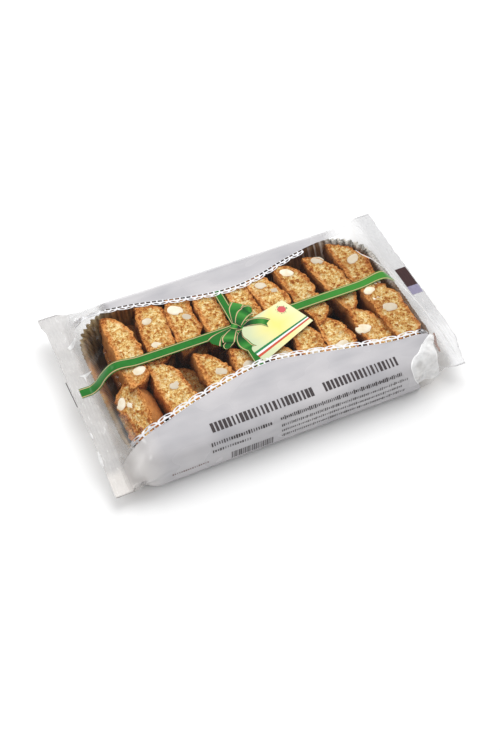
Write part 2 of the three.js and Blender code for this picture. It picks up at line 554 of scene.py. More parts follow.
def film_masks(x, s, y):
    """Haze of the film, and how milky it is: at its left end and round its right front corner."""
    out = np.abs(x)
    flat = np.stack(np.broadcast_arrays(x, s, 0.0), axis=-1)
    wander = 4 * noise(flat, 18, 21)
    milk = LEFT_MILK * span(-x + wander, 106, 114)
    milk = milk + LEFT_CORNER_MILK * span(-x + wander, 98, 110) * span(-y + wander / 2, 56, 64)
    milk = milk + span(x + wander, 107, 117) * span(-y + wander, 20, 44)
    shoulder = HAZE_AT_SHOULDER * span(out + wander - RIGHT_SHOULDER_SHIFT * (x > 0), 104, 115)
    seal = (HAZE_AT_SEAL - HAZE_AT_SHOULDER) * span(out, SEAL_ROOT - 1, SEAL_ROOT + 1)
    corner = BACK_CORNER_HAZE * span(-x + wander, 86, 102) * span(y + wander, 42, 60)
    return HAZE_OVER_TRAY + shoulder + seal + corner + MILK_HAZE * milk, milk


def cut_edge(x, s):
    """x of the film's points, with the seals' outer edges torn and one corner cut back."""
    side, out = np.sign(x), np.abs(x)
    under = np.sign(s) * (TOP_GIRTH / 2 + BASE_GIRTH / 2 - np.abs(s))
    seal_y = np.clip(s / TOP_GIRTH, -0.5, 0.5) * SEAL_WIDTH
    seal_y = np.where(np.abs(s) > TOP_GIRTH / 2, under, seal_y)
    tatter = noise(np.stack([seal_y, 0 * x, side], axis=-1), RAGGED_SIZE, 23)
    torn = RAGGED * span(out, RAGGED_FROM, SEAL_TO_SEAL / 2) * (0.5 + tatter / 2)
    corner = CORNER_CUT * span(x, SEAL_ROOT, SEAL_TO_SEAL / 2) * ease(span(-seal_y, 52, 75))
    return x - side * torn - corner


def make_film():
    x, s = np.meshgrid(film_stations(), girth_columns(), indexing="ij")
    points = film_at(cut_edge(x, s), s)
    faces = [list(face) for face in net_faces(*x.shape, closed=True)]
    faces += end_faces(0, True) + end_faces((len(x) - 1) * x.shape[1], False)
    haze, milk = film_masks(x, s, points[..., 1])
    return piece("film", points, faces, "clear_film", film_finish(), {"haze": haze, "milk": milk})


film = make_film()
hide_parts("film_bag")
print("film", len(film.data.polygons), "faces")

# %% [markdown]
# ## The white print
#
# A white band covers the front edge of the pack and another its back edge, from a lace edge on the top
# round to a strip under the base. Ink on film is smooth and glossy, and picks up soft cloudy
# reflections, so its finish is a pale one with a faint cloud painted into it as that reflection, and
# lighter streaks. Each band is a net that starts at the lace and hangs down over the wall, a tenth of a
# millimetre proud of the film.

# %% Where the lace runs
LACE_FRONT = [
    (-118, -62),
    (-112, -57),
    (-83, -46),
    (-50, -36.5),
    (-8, -29),
    (26, -34.6),
    (65, -43.9),
    (107.9, -51.3),
]
LACE_BACK = [
    (-115, 59.2),
    (-105, 59.2),
    (-88, 59),
    (-65, 54.9),
    (-34, 45.9),
    (-8, 41.2),
    (14, 42.2),
    (45, 51),
    (61, 54.8),
    (74, 57),
]
PATH_STEP = 1.0


def smooth_path(knots, step=PATH_STEP):
    """Points along a smooth curve through the knots, about step apart."""
    knots = np.asarray(knots, float)
    ends = [2 * knots[0] - knots[1]], [2 * knots[-1] - knots[-2]]
    spread = np.concatenate([ends[0], knots, ends[1]])
    bits = []
    for a, b, c, d in zip(spread, spread[1:], spread[2:], spread[3:]):
        count = max(2, int(np.linalg.norm(c - b) / step))
        t = (np.arange(count) / count)[:, None]
        square, cube = 2 * a - 5 * b + 4 * c - d, 3 * b - 3 * c + d - a
        bits.append(b + (c - a) * t / 2 + square * t**2 / 2 + cube * t**3 / 2)
    return np.concatenate(bits + [knots[-1:]])


def even_path(knots, count):
    """count points evenly spaced along the smooth curve, and their distances along it."""
    path = smooth_path(knots, 0.3)
    length = np.concatenate([[0], np.cumsum(np.linalg.norm(np.diff(path, axis=0), axis=1))])
    at = np.linspace(0, length[-1], count)
    return np.stack([np.interp(at, length, column) for column in path.T], axis=-1), at


def laid(knots):
    """Turns knots given as x and distance from the middle line into x and s."""
    return [(x, float(round_at(y))) for x, y in knots]


def lace_s(knots, x):
    """s of the lace at x."""
    path = smooth_path(laid(knots))
    return np.interp(x, path[:, 0], path[:, 1])


# %% The white bands
BAND_LIFT, BAND_UNDER_LACE = 0.1, 0.7
BAND_ROWS, BAND_COLUMNS = 34, 120
BAND_LEFT, BACK_BAND_RIGHT, UNDER_REACH = -119.5, 100, 10
FOLD_END = [(104, 33), (96, 31), (85, 27), (84, 18), (90, 7), (93, 1)]  # x and height


def print_finish():
    finish = Finish("white_print", IOR=1.5, Coat_Weight=0.6, Coat_Roughness=0.05)
    # cloud: a painted reflection of the soft light, in broad lighter and darker patches
    cloud = finish.noise(34, 2, 0.45, (1, 1.4, 1)).span(0.3, 0.7)
    streak = finish.noise(9, 2, 0.5, (0.25, 1, 1)).span(0.35, 0.75)
    tone = finish.mix(cloud, (0.39, 0.385, 0.41), (0.53, 0.515, 0.53))
    tone = finish.mix(streak * 0.3, tone, (0.66, 0.64, 0.65))
    x, _, _ = finish.axes()
    tone = finish.mix(x.span(-0.092, -0.107) * 0.8, tone, (0.68, 0.65, 0.63))
    finish.feed(Base_Color=tone, Roughness=0.2 + cloud * 0.12)
    finish.bump(finish.noise(3, 2, 0.5), 0.08, 0.35)
    finish.see_through(finish.mask("ink"))
    return finish


def make_band(name, knots, bottom, right_end, ink_fade, finish):
    """A band from its lace edge down to s = bottom. right_end gives its last x at each s."""
    row = np.linspace(0, 1, BAND_ROWS)[:, None]
    column = np.linspace(0, 1, BAND_COLUMNS)[None, :]
    side = np.sign(bottom)
    last_s = lace_s(knots, knots[-1][0]) * (1 - row) + bottom * row
    x = BAND_LEFT + (right_end(last_s) - BAND_LEFT) * column
    start = lace_s(knots, x) + side * BAND_UNDER_LACE
    s = start + (bottom - start) * row
    points = film_at(x, s, BAND_LIFT)
    faces = net_faces(BAND_ROWS, BAND_COLUMNS)
    faces = faces if side > 0 else faces[:, ::-1]
    return piece(name, points, faces[:, ::-1], "white_print", finish, {"ink": ink_fade(x, s)})


fold_s = down_at(np.array([z for _, z in FOLD_END]))
fold_x = np.array([x for x, _ in FOLD_END], float)
base_reach = TOP_GIRTH / 2 + BELLY_HEIGHT + UNDER_REACH
white_ink = print_finish()
band_front = make_band(
    "band_front",
    LACE_FRONT,
    -base_reach,
    lambda s: np.interp(-s, -fold_s, fold_x),
    lambda x, s: span(x, -122, -109),
    white_ink,
)
band_back = make_band(
    "band_back",
    LACE_BACK,
    base_reach,
    lambda s: BACK_BAND_RIGHT + 0 * s,
    lambda x, s: span(x, -91, -83) * (1 - ease(span(x, 70, 99))),
    white_ink,
)
print("white bands:", len(band_front.data.polygons) + len(band_back.data.polygons), "faces")

# %% [markdown]
# ## Room under the film
#
# The tray and the biscuits touch the film from inside, and nothing may come through it. One table of the
# film's height answers, for any x and y, how high a point may stand. Another answers, for any x and z,
# how far forward a point may lie.

# %% The ceiling
CEILING_STEP = 1.0
WALL_STEP = 0.5
ceiling_x = np.arange(-117, 117.5, CEILING_STEP)
ceiling_y = np.arange(-74, 68.5, CEILING_STEP)


def ceiling_table():
    net = film_at(ceiling_x[:, None], np.linspace(-TOP_GIRTH / 2, TOP_GIRTH / 2, 241)[None, :])
    return np.array([np.interp(ceiling_y, row[:, 1], row[:, 2]) for row in net])


ceiling = ceiling_table()


def film_height(x, y):
    """Height of the upper film over x and y, read between the table's places."""
    i = np.clip((x - ceiling_x[0]) / CEILING_STEP, 0, len(ceiling_x) - 1.001)
    j = np.clip((y - ceiling_y[0]) / CEILING_STEP, 0, len(ceiling_y) - 1.001)
    i0, j0 = i.astype(int), j.astype(int)
    fi, fj = i - i0, j - j0
    near = ceiling[i0, j0] * (1 - fj) + ceiling[i0, j0 + 1] * fj
    far = ceiling[i0 + 1, j0] * (1 - fj) + ceiling[i0 + 1, j0 + 1] * fj
    return near * (1 - fi) + far * fi


def under_film(points, gap):
    """The points, pressed down where they would come nearer to the film than gap."""
    kept = points.copy()
    kept[:, 2] = np.minimum(points[:, 2], film_height(points[:, 0], points[:, 1]) - gap)
    return kept


# %% The front wall
wall_z = np.arange(WALL_STEP, 34, WALL_STEP)


def wall_table():
    front = np.linspace(-TOP_GIRTH / 2 - BASE_GIRTH / 2, 0, 400)
    net = film_at(ceiling_x[:, None], front[None, :])
    return np.array([np.interp(wall_z, np.maximum.accumulate(row[:, 2]), row[:, 1]) for row in net])


front_wall = wall_table()


def behind_front(points, gap):
    """The points, pushed back where they would come nearer to the front wall than gap."""
    i = np.clip(np.rint((points[:, 0] - ceiling_x[0]) / CEILING_STEP), 0, len(ceiling_x) - 1).astype(int)
    j = np.clip(np.rint((points[:, 2] - wall_z[0]) / WALL_STEP), 0, len(wall_z) - 1).astype(int)
    kept = points.copy()
    kept[:, 1] = np.maximum(points[:, 1], front_wall[i, j] + gap)
    return kept


print("ceiling from", round(ceiling.min(), 1), "to", round(ceiling.max(), 1))

# %% [markdown]
# ## The pleated tray
#
# The tray is one blank of thin board, faced with gold foil and pressed, so that its walls fall into
# pleats: broad and shallow along the sides, deep and narrow round the corners. Its wall follows a
# rounded rectangle, so Geometry Nodes suit it. A flat grid is laid along the outline, leant outwards, and
# pushed in and out by a wave. The outline itself is filled for the floor. The tree keeps the wave as an
# attribute, so that the foil can be painted with a highlight on each ridge and with shade in each
# groove. Solidify gives the board its thickness, with bare pale board on the outside.

# %% Sizes of the tray
TRAY_LENGTH, TRAY_WIDTH, TRAY_CORNER = 202, 111, 20  # of its floor
TRAY_HEIGHT, TRAY_FLARE = 20.5, 9.5
BOARD, TRAY_FLOOR, TRAY_CLEARANCE = 0.4, 1.2, 0.8
PLEAT_PITCH, PLEAT_DEPTH = 2.9, 1.1
TRAY_POINTS = 1500
TRAY_ROWS = 14
WALL_CURVE = 1.15  # above 1 where a wall leans out more near its rim


# %% Starting a tree and growing it
def tree_inputs(name, **numbers):
    """A new Geometry Nodes tree, and a wire from each of its inputs. A text stands for an object."""
    tree = bpy.data.node_groups.new(name, "GeometryNodeTree")
    tree.interface.new_socket("Geometry", in_out="OUTPUT", socket_type="NodeSocketGeometry")
    for label, value in numbers.items():
        kind = {int: "NodeSocketInt", float: "NodeSocketFloat", str: "NodeSocketObject"}[type(value)]
        tree.interface.new_socket(label, in_out="INPUT", socket_type=kind)
    sheet = Sheet(tree)
    entry = tree.nodes.new("NodeGroupInput")
    return sheet, {label: Wire(sheet, entry.outputs[label]) for label in numbers}


def grow(name, sheet, geometry, material, values):
    """Ends the tree, runs it with its inputs set, and returns the plain mesh object."""
    whole = sheet.node("GeometryNodeRealizeInstances", {}, {0: geometry})
    coloured = sheet.node("GeometryNodeSetMaterial", {}, {"Geometry": whole, "Material": material})
    exit_node = sheet.tree.nodes.new("NodeGroupOutput")
    sheet.tree.links.new(coloured.socket, exit_node.inputs[0])
    seed = bpy.data.objects.new(name, bpy.data.meshes.new(name))
    scene.collection.objects.link(seed)
    modifier = seed.modifiers.new(name, "NODES")
    modifier.node_group = sheet.tree
    for item in sheet.tree.interface.items_tree:
        if item.in_out == "INPUT":
            modifier[item.identifier] = values[item.name]
    mesh = bpy.data.meshes.new_from_object(seed.evaluated_get(bpy.context.evaluated_depsgraph_get()))
    bpy.data.objects.remove(seed)
    mesh.name = name
    mesh.shade_smooth()
    thing = bpy.data.objects.new(name, mesh)
    scene.collection.objects.link(thing)
    return thing


# %% Gold foil and bare board
COPPER = [(0.3, (0.5, 0.2, 0.05)), (0.52, (0.78, 0.37, 0.11)), (0.7, (0.95, 0.65, 0.3))]
OLIVE = [(0.3, (0.07, 0.06, 0.02)), (0.62, (0.5, 0.42, 0.25))]
# GLINT: painted glints and dark spots for the rim
GLINT = [(0.36, (0.02, 0.015, 0.01)), (0.62, (0.9, 0.86, 0.78))]


def foil_finish():
    """Gold foil: coppery at the left end of the tray, and painted dark at its right end for its shade and
    dark reflections. It has painted shade in the grooves and low on the walls, painted highlights on the
    ridges, painted flashes on the back wall and painted glints on the rim.
    """
    finish = Finish("gold_foil")
    x, y, z = finish.axes()
    pleat = finish.mask("pleat")
    smear, fine = finish.noise(11, 3, 0.6), finish.noise(0.9, 2, 0.6)
    tone = finish.colours(smear, COPPER)
    # painted shade and dark reflection over the right end
    tone = finish.mix(x.span(0.02, 0.1) * 0.85, tone, (0.14, 0.085, 0.05))
    # olive in the left corners, painted lighter on the ridges and darker in the grooves
    corners = (y - 0.006).math("ABSOLUTE").span(0.012, 0.026) * x.span(-0.072, -0.088)
    tone = finish.mix(corners * 0.85, tone, finish.colours(pleat * 0.4 + smear * 0.6 + 0.2, OLIVE))
    # painted shade in the grooves
    tone = finish.mix(pleat.span(0.35, -0.75) * (smear * 0.7 + 0.45), tone, (0.09, 0.05, 0.02))
    # painted highlight on the ridges
    tone = finish.mix(pleat.span(0.4, 1.0) * (smear + 0.25), tone, (0.95, 0.88, 0.73))
    # painted shade low on the walls, under the biscuits
    tone = finish.mix(z.span(0.014, 0.004) * 0.8, tone, (0.12, 0.045, 0.015))
    # painted flashes of light on a stretch of the back wall
    flash = y.span(0.04, 0.048) * x.span(0.064, 0.067) * x.span(0.086, 0.083) * pleat.span(0, 0.4)
    tone = finish.mix(flash * z.span(0.008, 0.016), tone, (1.0, 0.95, 0.9))
    # painted glints and dark spots along the right back rim
    rim = z.span(0.0185, 0.021) * x.span(0.078, 0.09) * y.span(0, 0.02)
    tone = finish.mix(rim, tone, finish.colours(pleat * 0.35 + fine * 0.5 + 0.25, GLINT))
    finish.feed(Base_Color=tone, Metallic=0.2 + smear * 0.4, Roughness=0.22 + smear * 0.2)
    finish.bump(smear * 2 + fine * 0.25, 0.35, 0.5)
    return finish


def board_finish():
    finish = Finish("bare_board", Specular_IOR_Level=0.2)
    grain = finish.noise(0.6, 3, 0.7)
    tone = finish.mix(grain, (0.5, 0.36, 0.22), (0.66, 0.53, 0.37))
    finish.feed(Base_Color=tone, Roughness=0.75 + grain * 0.2)
    finish.bump(grain, 0.05, 0.5)
    return finish


# %% The tray's tree
def tray_tree():
    sizes = ("Length", "Width", "Corner", "Height", "Flare", "Pleat pitch", "Pleat depth")
    sheet, size = tree_inputs("pleated_tray", **{name: 1.0 for name in sizes}, Points=1, Seed=1)
    node, points = sheet.node, size["Points"]
    box = node("GeometryNodeCurvePrimitiveQuadrilateral", {}, {0: size["Length"], 1: size["Width"]})
    fillet = {"mode": "POLY"}
    rounded = node("GeometryNodeFilletCurve", fillet, {"Curve": box, "Radius": size["Corner"], "Count": 16})
    outline = node("GeometryNodeResampleCurve", {"mode": "COUNT"}, {"Curve": rounded, "Count": points})
    round_length = node("GeometryNodeCurveLength", {}, {0: outline})

    grid = node("GeometryNodeMeshGrid", {}, {0: 1.0, 1: 1.0, 2: points + 1, 3: TRAY_ROWS})
    flat = node("ShaderNodeSeparateXYZ", {}, {0: node("GeometryNodeInputPosition")})
    along, up = flat + 0.5, flat.other("Y") + 0.5
    settings = {"data_type": "FLOAT", "mode": "FACTOR", "use_all_curves": True}
    sample = node("GeometryNodeSampleCurve", settings, {"Curves": outline, "Factor": along.clamp()}, out=1)
    outward = sample.other("Tangent").vector("CROSS_PRODUCT", (0, 0, 1)).vector("NORMALIZE", (0, 0, 0))
    spot = node("ShaderNodeSeparateXYZ", {}, {0: sample})

    past_x = spot.math("ABSOLUTE") - (size["Length"] * 0.5 - size["Corner"] * 0.8)
    past_y = spot.other("Y").math("ABSOLUTE") - (size["Width"] * 0.5 - size["Corner"] * 0.8)
    corner = (past_x.math("MINIMUM", past_y) * 160).clamp()
    inputs = {"Vector": sample, "Scale": 60.0, "W": size["Seed"]}
    wander = node("ShaderNodeTexNoise", {"noise_dimensions": "4D"}, inputs)
    turns = round_length.math("DIVIDE", size["Pleat pitch"]) * along + wander * 1.5
    wave = (turns * (2 * math.pi)).math("SINE") + (turns * (4 * math.pi)).math("SINE") * 0.35
    fade = up.math("POWER", 0.6)
    push = wave * fade * size["Pleat depth"] * (corner * 0.75 + 0.25 + (wander - 0.5) * 0.8)
    lip = up.span(0.9, 1.0) * 1.6 * MM
    lean = up.math("POWER", WALL_CURVE) * size["Flare"] + push + lip
    drop = up * size["Height"] + wander * fade * 1.5 * MM
    raised = node("ShaderNodeCombineXYZ", {}, {"Z": drop})
    place = node("ShaderNodeVectorMath", {"operation": "ADD"}, {0: sample, 1: outward.scaled(lean)})
    bent = node("GeometryNodeSetPosition", {}, {"Geometry": grid, "Position": place.vector("ADD", raised)})
    inputs = {"Geometry": bent, "Name": "pleat", "Value": wave * fade * (0.35 + corner * 0.65)}
    wall = node("GeometryNodeStoreNamedAttribute", {"data_type": "FLOAT", "domain": "POINT"}, inputs)
    floor = node("GeometryNodeFillCurve", {"mode": "NGONS"}, {0: outline})
    both = node("GeometryNodeJoinGeometry")
    for part in (wall, floor):
        sheet.tree.links.new(part.socket, both.socket.node.inputs[0])
    return sheet, node("GeometryNodeMergeByDistance", {}, {"Geometry": both, "Distance": 0.02 * MM})


# %% Grow the tray
def make_tray():
    foil, board = foil_finish(), board_finish()
    sheet, geometry = tray_tree()
    values = {
        "Length": TRAY_LENGTH * MM,
        "Width": TRAY_WIDTH * MM,
        "Corner": TRAY_CORNER * MM,
        "Height": TRAY_HEIGHT * MM,
        "Flare": TRAY_FLARE * MM,
        "Pleat pitch": PLEAT_PITCH * MM,
        "Pleat depth": PLEAT_DEPTH * MM,
        "Points": TRAY_POINTS,
        "Seed": 3,
    }
    tray = grow("tray", sheet, geometry, board.material, values)
    tray.data.transform(Matrix.Translation((0, BODY_OFFSET * MM, TRAY_FLOOR * MM)))
    tray.data.materials.append(foil.material)
    move_points(tray, behind_front(under_film(points_of(tray), TRAY_CLEARANCE), TRAY_CLEARANCE))
    face_outwards(tray)
    thick = tray.modifiers.new("board", "SOLIDIFY")
    thick.thickness, thick.offset = BOARD * MM, 1
    thick.material_offset = thick.material_offset_rim = 1
    pieces.append((tray, "tray_foil"))
    return tray


tray = make_tray()
tray_points = points_of(tray)
print("tray from", tray_points.min(0).round(1), "to", tray_points.max(0).round(1))

# %% [markdown]
# ## A biscuit
#
# A log of dough is baked, cut across on the slant while warm, and the slices are dried. So a slice has two
# open cut faces, a smooth tan side where the log lay on the sheet, and a rough browned dome opposite.
# The slice is lofted from rings: each ring is the rectangle of one section, and the rings shrink
# to nothing at both tips. Then every point moves along its normal: pits and crumbs on the cut faces,
# cracks and crags on the dome. The mesh keeps five masks that the finish reads: how much of a point is
# crust, how deep it lies, how far it belongs to the smooth sole, how near it is to an almond's skin, and
# how much it lies in the shade of its neighbours.

# %% Sizes of a biscuit
FACE_COLUMNS, SIDE_COLUMNS, BACK_COLUMNS = 36, 16, 6
RING_STEP = 0.64
CRUST_DEPTH = 2.4
PIT_COUNT, PIT_SIZE = 130, (0.4, 1.3)
OUTLINE_CRAG = 1.5
ALMOND = (5.6, 3.9, 2.0)  # half lengths of an almond's section, and its depth
SIDE_SHADE, SIDE_FALL = 0.9, (1.5, 10)  # how much painted shade darkens a side low down, and from which depth to which it grows


def ring_shares(grade):
    """Where a ring's points lie across the slice, through its thickness, and which side each is on."""
    face, side, back = (max(3, int(n * grade)) for n in (FACE_COLUMNS, SIDE_COLUMNS, BACK_COLUMNS))
    across = [(np.arange(face) / face, 0.5, 0)]
    across += [(1.0, 0.5 - np.arange(side) / side, 1)]
    across += [(1 - np.arange(back) / back, -0.5, 2)]
    across += [(0.0, np.arange(side) / side - 0.5, 3)]
    parts = [np.broadcast_arrays(*(np.asarray(v, float) for v in part)) for part in across]
    return [np.concatenate(column) for column in zip(*parts)]


def slice_net(length, width, thickness, blunt, seed, grade):
    """Rings of a slice in its own frame: along, across and through, in mm. blunt squares its two tips."""
    draw = np.random.default_rng(seed)
    slant, taper = draw.uniform(-0.35, 0.35), draw.uniform(-0.08, 0.08)
    count = int(length / RING_STEP * grade)
    even = np.linspace(-1, 1, count + 1)
    p = (0.6 * even + 0.4 * np.sin(np.pi / 2 * even))[:, None]
    across, through, side = ring_shares(grade)
    squareness = np.where(p < 0, blunt[0], blunt[1])
    bulge = (1 - np.abs(p) ** squareness) ** (0.5 + 0.3 * span(squareness, 4, 2))
    sole = 0.1 * width * np.abs(p) ** 4
    u = p * length / 2 + slant * through * thickness + 0 * across
    c = through * thickness + 0 * p
    flat = np.stack([u, 0 * u, 0.3 * c], axis=-1)
    crag = OUTLINE_CRAG * (noise(flat, 7, seed + 8) + 0.9 * noise(flat, 3.2, seed + 9))
    sway = 1.2 * noise(flat, 30, seed + 10)
    dome = width * bulge * (1 + taper * p) + crag * bulge
    w = sole + (dome - sole * 0.5) * across + sway + 0.45 * crag * bulge * (1 - across)
    w = w + 0.08 * width * np.abs(p) ** 3 * (1 - across) * bulge
    net = np.stack([u, w - width / 2, c], axis=-1)
    shape = u.shape
    return net, np.broadcast_to(side, shape), np.broadcast_to(across, shape), np.broadcast_to(p, shape)


def net_normals(net):
    """Outward normals of a net of closed rings."""
    along = np.gradient(net, axis=0)
    around = np.roll(net, -1, axis=1) - np.roll(net, 1, axis=1)
    normal = np.cross(around, along)
    return normal / (np.linalg.norm(normal, axis=-1, keepdims=True) + 1e-9)


def pits(points, where, seed):
    """Depth of the pores at points, for a random set of pores. Noise makes them ragged."""
    draw = np.random.default_rng(seed)
    low, high = points[where].min(0), points[where].max(0)
    depth = np.zeros(len(points))
    torn = 1 + 0.45 * noise(points, 1.6, seed + 1)
    for centre in draw.uniform(low, high, (PIT_COUNT, 3)):
        radius = PIT_SIZE[0] + (PIT_SIZE[1] - PIT_SIZE[0]) * draw.random() ** 2
        stretch = np.array([1, 0.6 + 0.8 * draw.random(), 0.2])
        away = np.linalg.norm((points - centre) * stretch, axis=1) / radius * torn
        depth = np.maximum(depth, radius * 0.9 * np.clip(1 - away**2, 0, 1) ** 0.7)
    return depth


# %% Dough takes its relief
def crumb_relief(points, seed):
    """Relief of a torn crumb, in mm: grains of two sizes, and hollows."""
    grains = 0.8 * noise(points, 2.5, seed) + 0.45 * noise(points, 1.3, seed + 1)
    return grains + 0.45 * noise(points, 7, seed + 2)


def crust_relief(points, rough, seed):
    crag = np.abs(noise(points, 3.4, seed + 3)) - 0.3
    return rough * (1.5 * crag + 0.7 * noise(points, 1.5, seed + 4)) + 0.4 * noise(points, 9, seed + 5)


def almond_ring(along, across, nuts):
    """Distance of points from the nearest almond's middle: 1 on its outline."""
    ring = np.full(len(along), 9.0)
    for u, w, turn, size in nuts:
        du, dw = along - u, across - w
        a = (du * math.cos(turn) + dw * math.sin(turn)) / (ALMOND[0] * size)
        b = (dw * math.cos(turn) - du * math.sin(turn)) / (ALMOND[1] * size)
        ring = np.minimum(ring, np.hypot(a, b))
    return ring


def bake(length, width, thickness, blunt, seed, nuts=(), grade=1.0):
    """A slice in its own frame: its points, its faces and the masks that its finish reads."""
    net, side, across, p = slice_net(length, width, thickness, blunt, seed, grade)
    rings, columns = side.shape
    normals = net_normals(net).reshape(-1, 3)
    points = net.reshape(-1, 3)
    side, across, p = side.ravel(), across.ravel(), p.ravel()
    cut = (side == 0) | (side == 2)
    edge = np.minimum(across, 1 - across) * width * (1 - p**4)
    edge = np.minimum(edge, (1 - np.abs(p)) * length * 0.9)
    ragged = edge + 1.3 * noise(points, 3, seed + 6)
    crust = np.where(cut, 1 - span(ragged, 0.4 * CRUST_DEPTH, 1.6 * CRUST_DEPTH), 1)
    roughness = np.random.default_rng(seed + 40).uniform(0.35, 0.7)
    smooth_side = span(across, 0.5, 0.05)
    relief = np.where(cut, crumb_relief(points, seed), 0) * (1 - 0.5 * crust)
    relief = relief + crust_relief(points, 1 - (1 - roughness) * smooth_side, seed) * crust * 0.8
    relief = relief - pits(points, side == 0, seed + 7) * (1 - 0.7 * crust)
    ring = np.where(side == 0, almond_ring(points[:, 0], points[:, 1], nuts), 9)
    bare = span(ring, 0.95, 1.2)
    relief = relief * bare - 0.35 * (1 - bare)
    skin = span(ring, 0.85, 0.98) * (1 - span(ring, 1.02, 1.16))
    # painted shade on the sides, growing with depth below the cut face, for the shade in the gaps between
    # slices
    fall = SIDE_SHADE * ease(span(thickness / 2 - points[:, 2], *SIDE_FALL))
    rounding = np.where(cut, 0.8 * (1 - span(edge, 0, 1.5)) ** 2, 0)
    moved = points + normals * (relief - rounding)[:, None]
    faces = net_faces(rings, columns, closed=True)[:, ::-1]
    sole = crust * smooth_side * (1 - cut) * (1.3 - roughness)
    return moved, faces, {"crust": crust, "depth": relief, "sole": sole, "skin": skin, "shade": fall}


# %% [markdown]
# ## The finish of the biscuits
#
# Crumb is golden yellow with pale flecks, and painted a darker brown in its pits, as their shade. Crust
# is a red-brown that is darkest on the crags, and the sole of the log is an even tan. All of it is matt
# and full of fine pores. The masks of the mesh carry the large pattern and the painted shade, and noise
# on Object coordinates adds what is finer.

# %% Biscuit and almond finishes
def biscuit_finish():
    finish = Finish("baked_dough", Specular_IOR_Level=0.12)
    depth, crust, sole = (finish.mask(name) for name in ("depth", "crust", "sole"))
    patch, clump = finish.noise(10, 2), finish.noise(2.0, 3, 0.65)
    grain, pore = finish.noise(0.95, 2, 0.65), finish.noise(0.5, 2, 0.6)
    # the relief mask makes pits and hollows darker in crumb and crust, which is painted shade
    height = depth * 0.26 + (clump - 0.5) * 1.6 + (grain - 0.5) * 1.0 + 0.49
    gold = [
        (0.1, (0.32, 0.085, 0.015)),
        (0.28, (0.57, 0.23, 0.045)),
        (0.42, (0.73, 0.42, 0.12)),
        (0.58, (0.86, 0.62, 0.24)),
        (0.78, (1.0, 0.86, 0.52)),
    ]
    crumb = finish.colours(height, gold)
    toast = (patch + crust * 0.3).span(0.52, 0.78)
    crumb = finish.mix(toast * 0.55, crumb, (0.5, 0.2, 0.055))
    brown = [(0.15, (0.26, 0.06, 0.01)), (0.4, (0.56, 0.19, 0.04)), (0.65, (0.84, 0.4, 0.12))]
    rind = finish.colours(height, brown)
    tan = finish.mix(patch * 0.3 + pore * 0.35 + grain * 0.35, (0.42, 0.125, 0.03), (0.9, 0.41, 0.125))
    tone = finish.mix(crust, crumb, finish.mix(sole, rind, tan))
    tone = finish.mix(finish.mask("skin") * 0.6, tone, (0.45, 0.22, 0.08))
    # painted shade from the shade mask: low sides, deep slices and the lower layer
    tone = finish.mix(finish.mask("shade"), tone, (0.15, 0.045, 0.01))
    finish.feed(Base_Color=tone, Roughness=0.65 + grain * 0.3)
    finish.bump((clump * 1.2 + grain * 0.9 + pore * 0.25) * (1 - sole * 0.6), 0.85, 1.0)
    return finish


def almond_finish():
    finish = Finish("cut_almond", Specular_IOR_Level=0.3)
    grain, patch = finish.noise(0.8, 2), finish.noise(5, 2)
    tone = finish.mix(patch.span(0.3, 0.7), (0.8, 0.68, 0.48), (0.93, 0.87, 0.72))
    tone = finish.mix(finish.mask("dull"), tone, (0.5, 0.42, 0.32))
    finish.feed(Base_Color=tone, Roughness=0.5 + grain * 0.25)
    finish.bump(grain + patch, 0.3, 0.5)
    return finish


dough, nut = biscuit_finish(), almond_finish()

# %% [markdown]
# ## The top layer
#
# The back row and the front row have nine slices each, nearly parallel, cut faces up, each a little
# different in length, height and lean, as they were set down by hand. A slice is given by the places of
# its two tips on its upper face. Each table row ends with where almonds were cut through. Points that
# would pass the film or the tray's walls are moved back inside.

# %% Places of the top slices
# back tip x, y; front tip x, y; height of the face at each tip; width; lean in degrees; how square the
# tips are; and for each almond its x, y, size and dullness
BACK_ROW = [
    (-85.5, 50, -88.2, -15.5, 32, 34, 17.5, 4, (5, 4), [(-85.2, -4.5, 0.95, 0.1)]),
    (-59, 50, -64.5, -1, 33, 30.5, 20.5, 5, (6, 3), [(-65, 34, 0.75, 0.3), (-66, 13, 0.7, 0.2)]),
    (-39.5, 48, -41.5, 1, 33, 29, 19.5, 5, (5, 3), [(-44, 36, 1.05, 0), (-38, 28, 0.7, 0.7)]),
    (-21, 48, -22, 0, 33, 31, 17.5, 4, (3.5, 3.5), []),
    (2.5, 48, 3.5, -12, 33, 32, 18, 4, (3, 3.5), []),
    (20, 47, 23.5, -12, 33, 33, 20.5, 4, (3.5, 3), [(19, 32, 0.8, 0.4), (26, 25, 0.65, 0.7)]),
    (41, 49, 49, -13.5, 33, 32, 18, 0, (3, 3), [(40.5, 36, 0.95, 0)]),
    (64.5, 46.5, 74, -12.5, 33, 31, 18, -3, (2.4, 3), [(66, 38, 0.9, 0.7)]),
    (88, 52.5, 89.5, -2, 35, 34, 19.5, -5, (2, 2.5), [(89, 27, 0.95, 0.6)]),
]
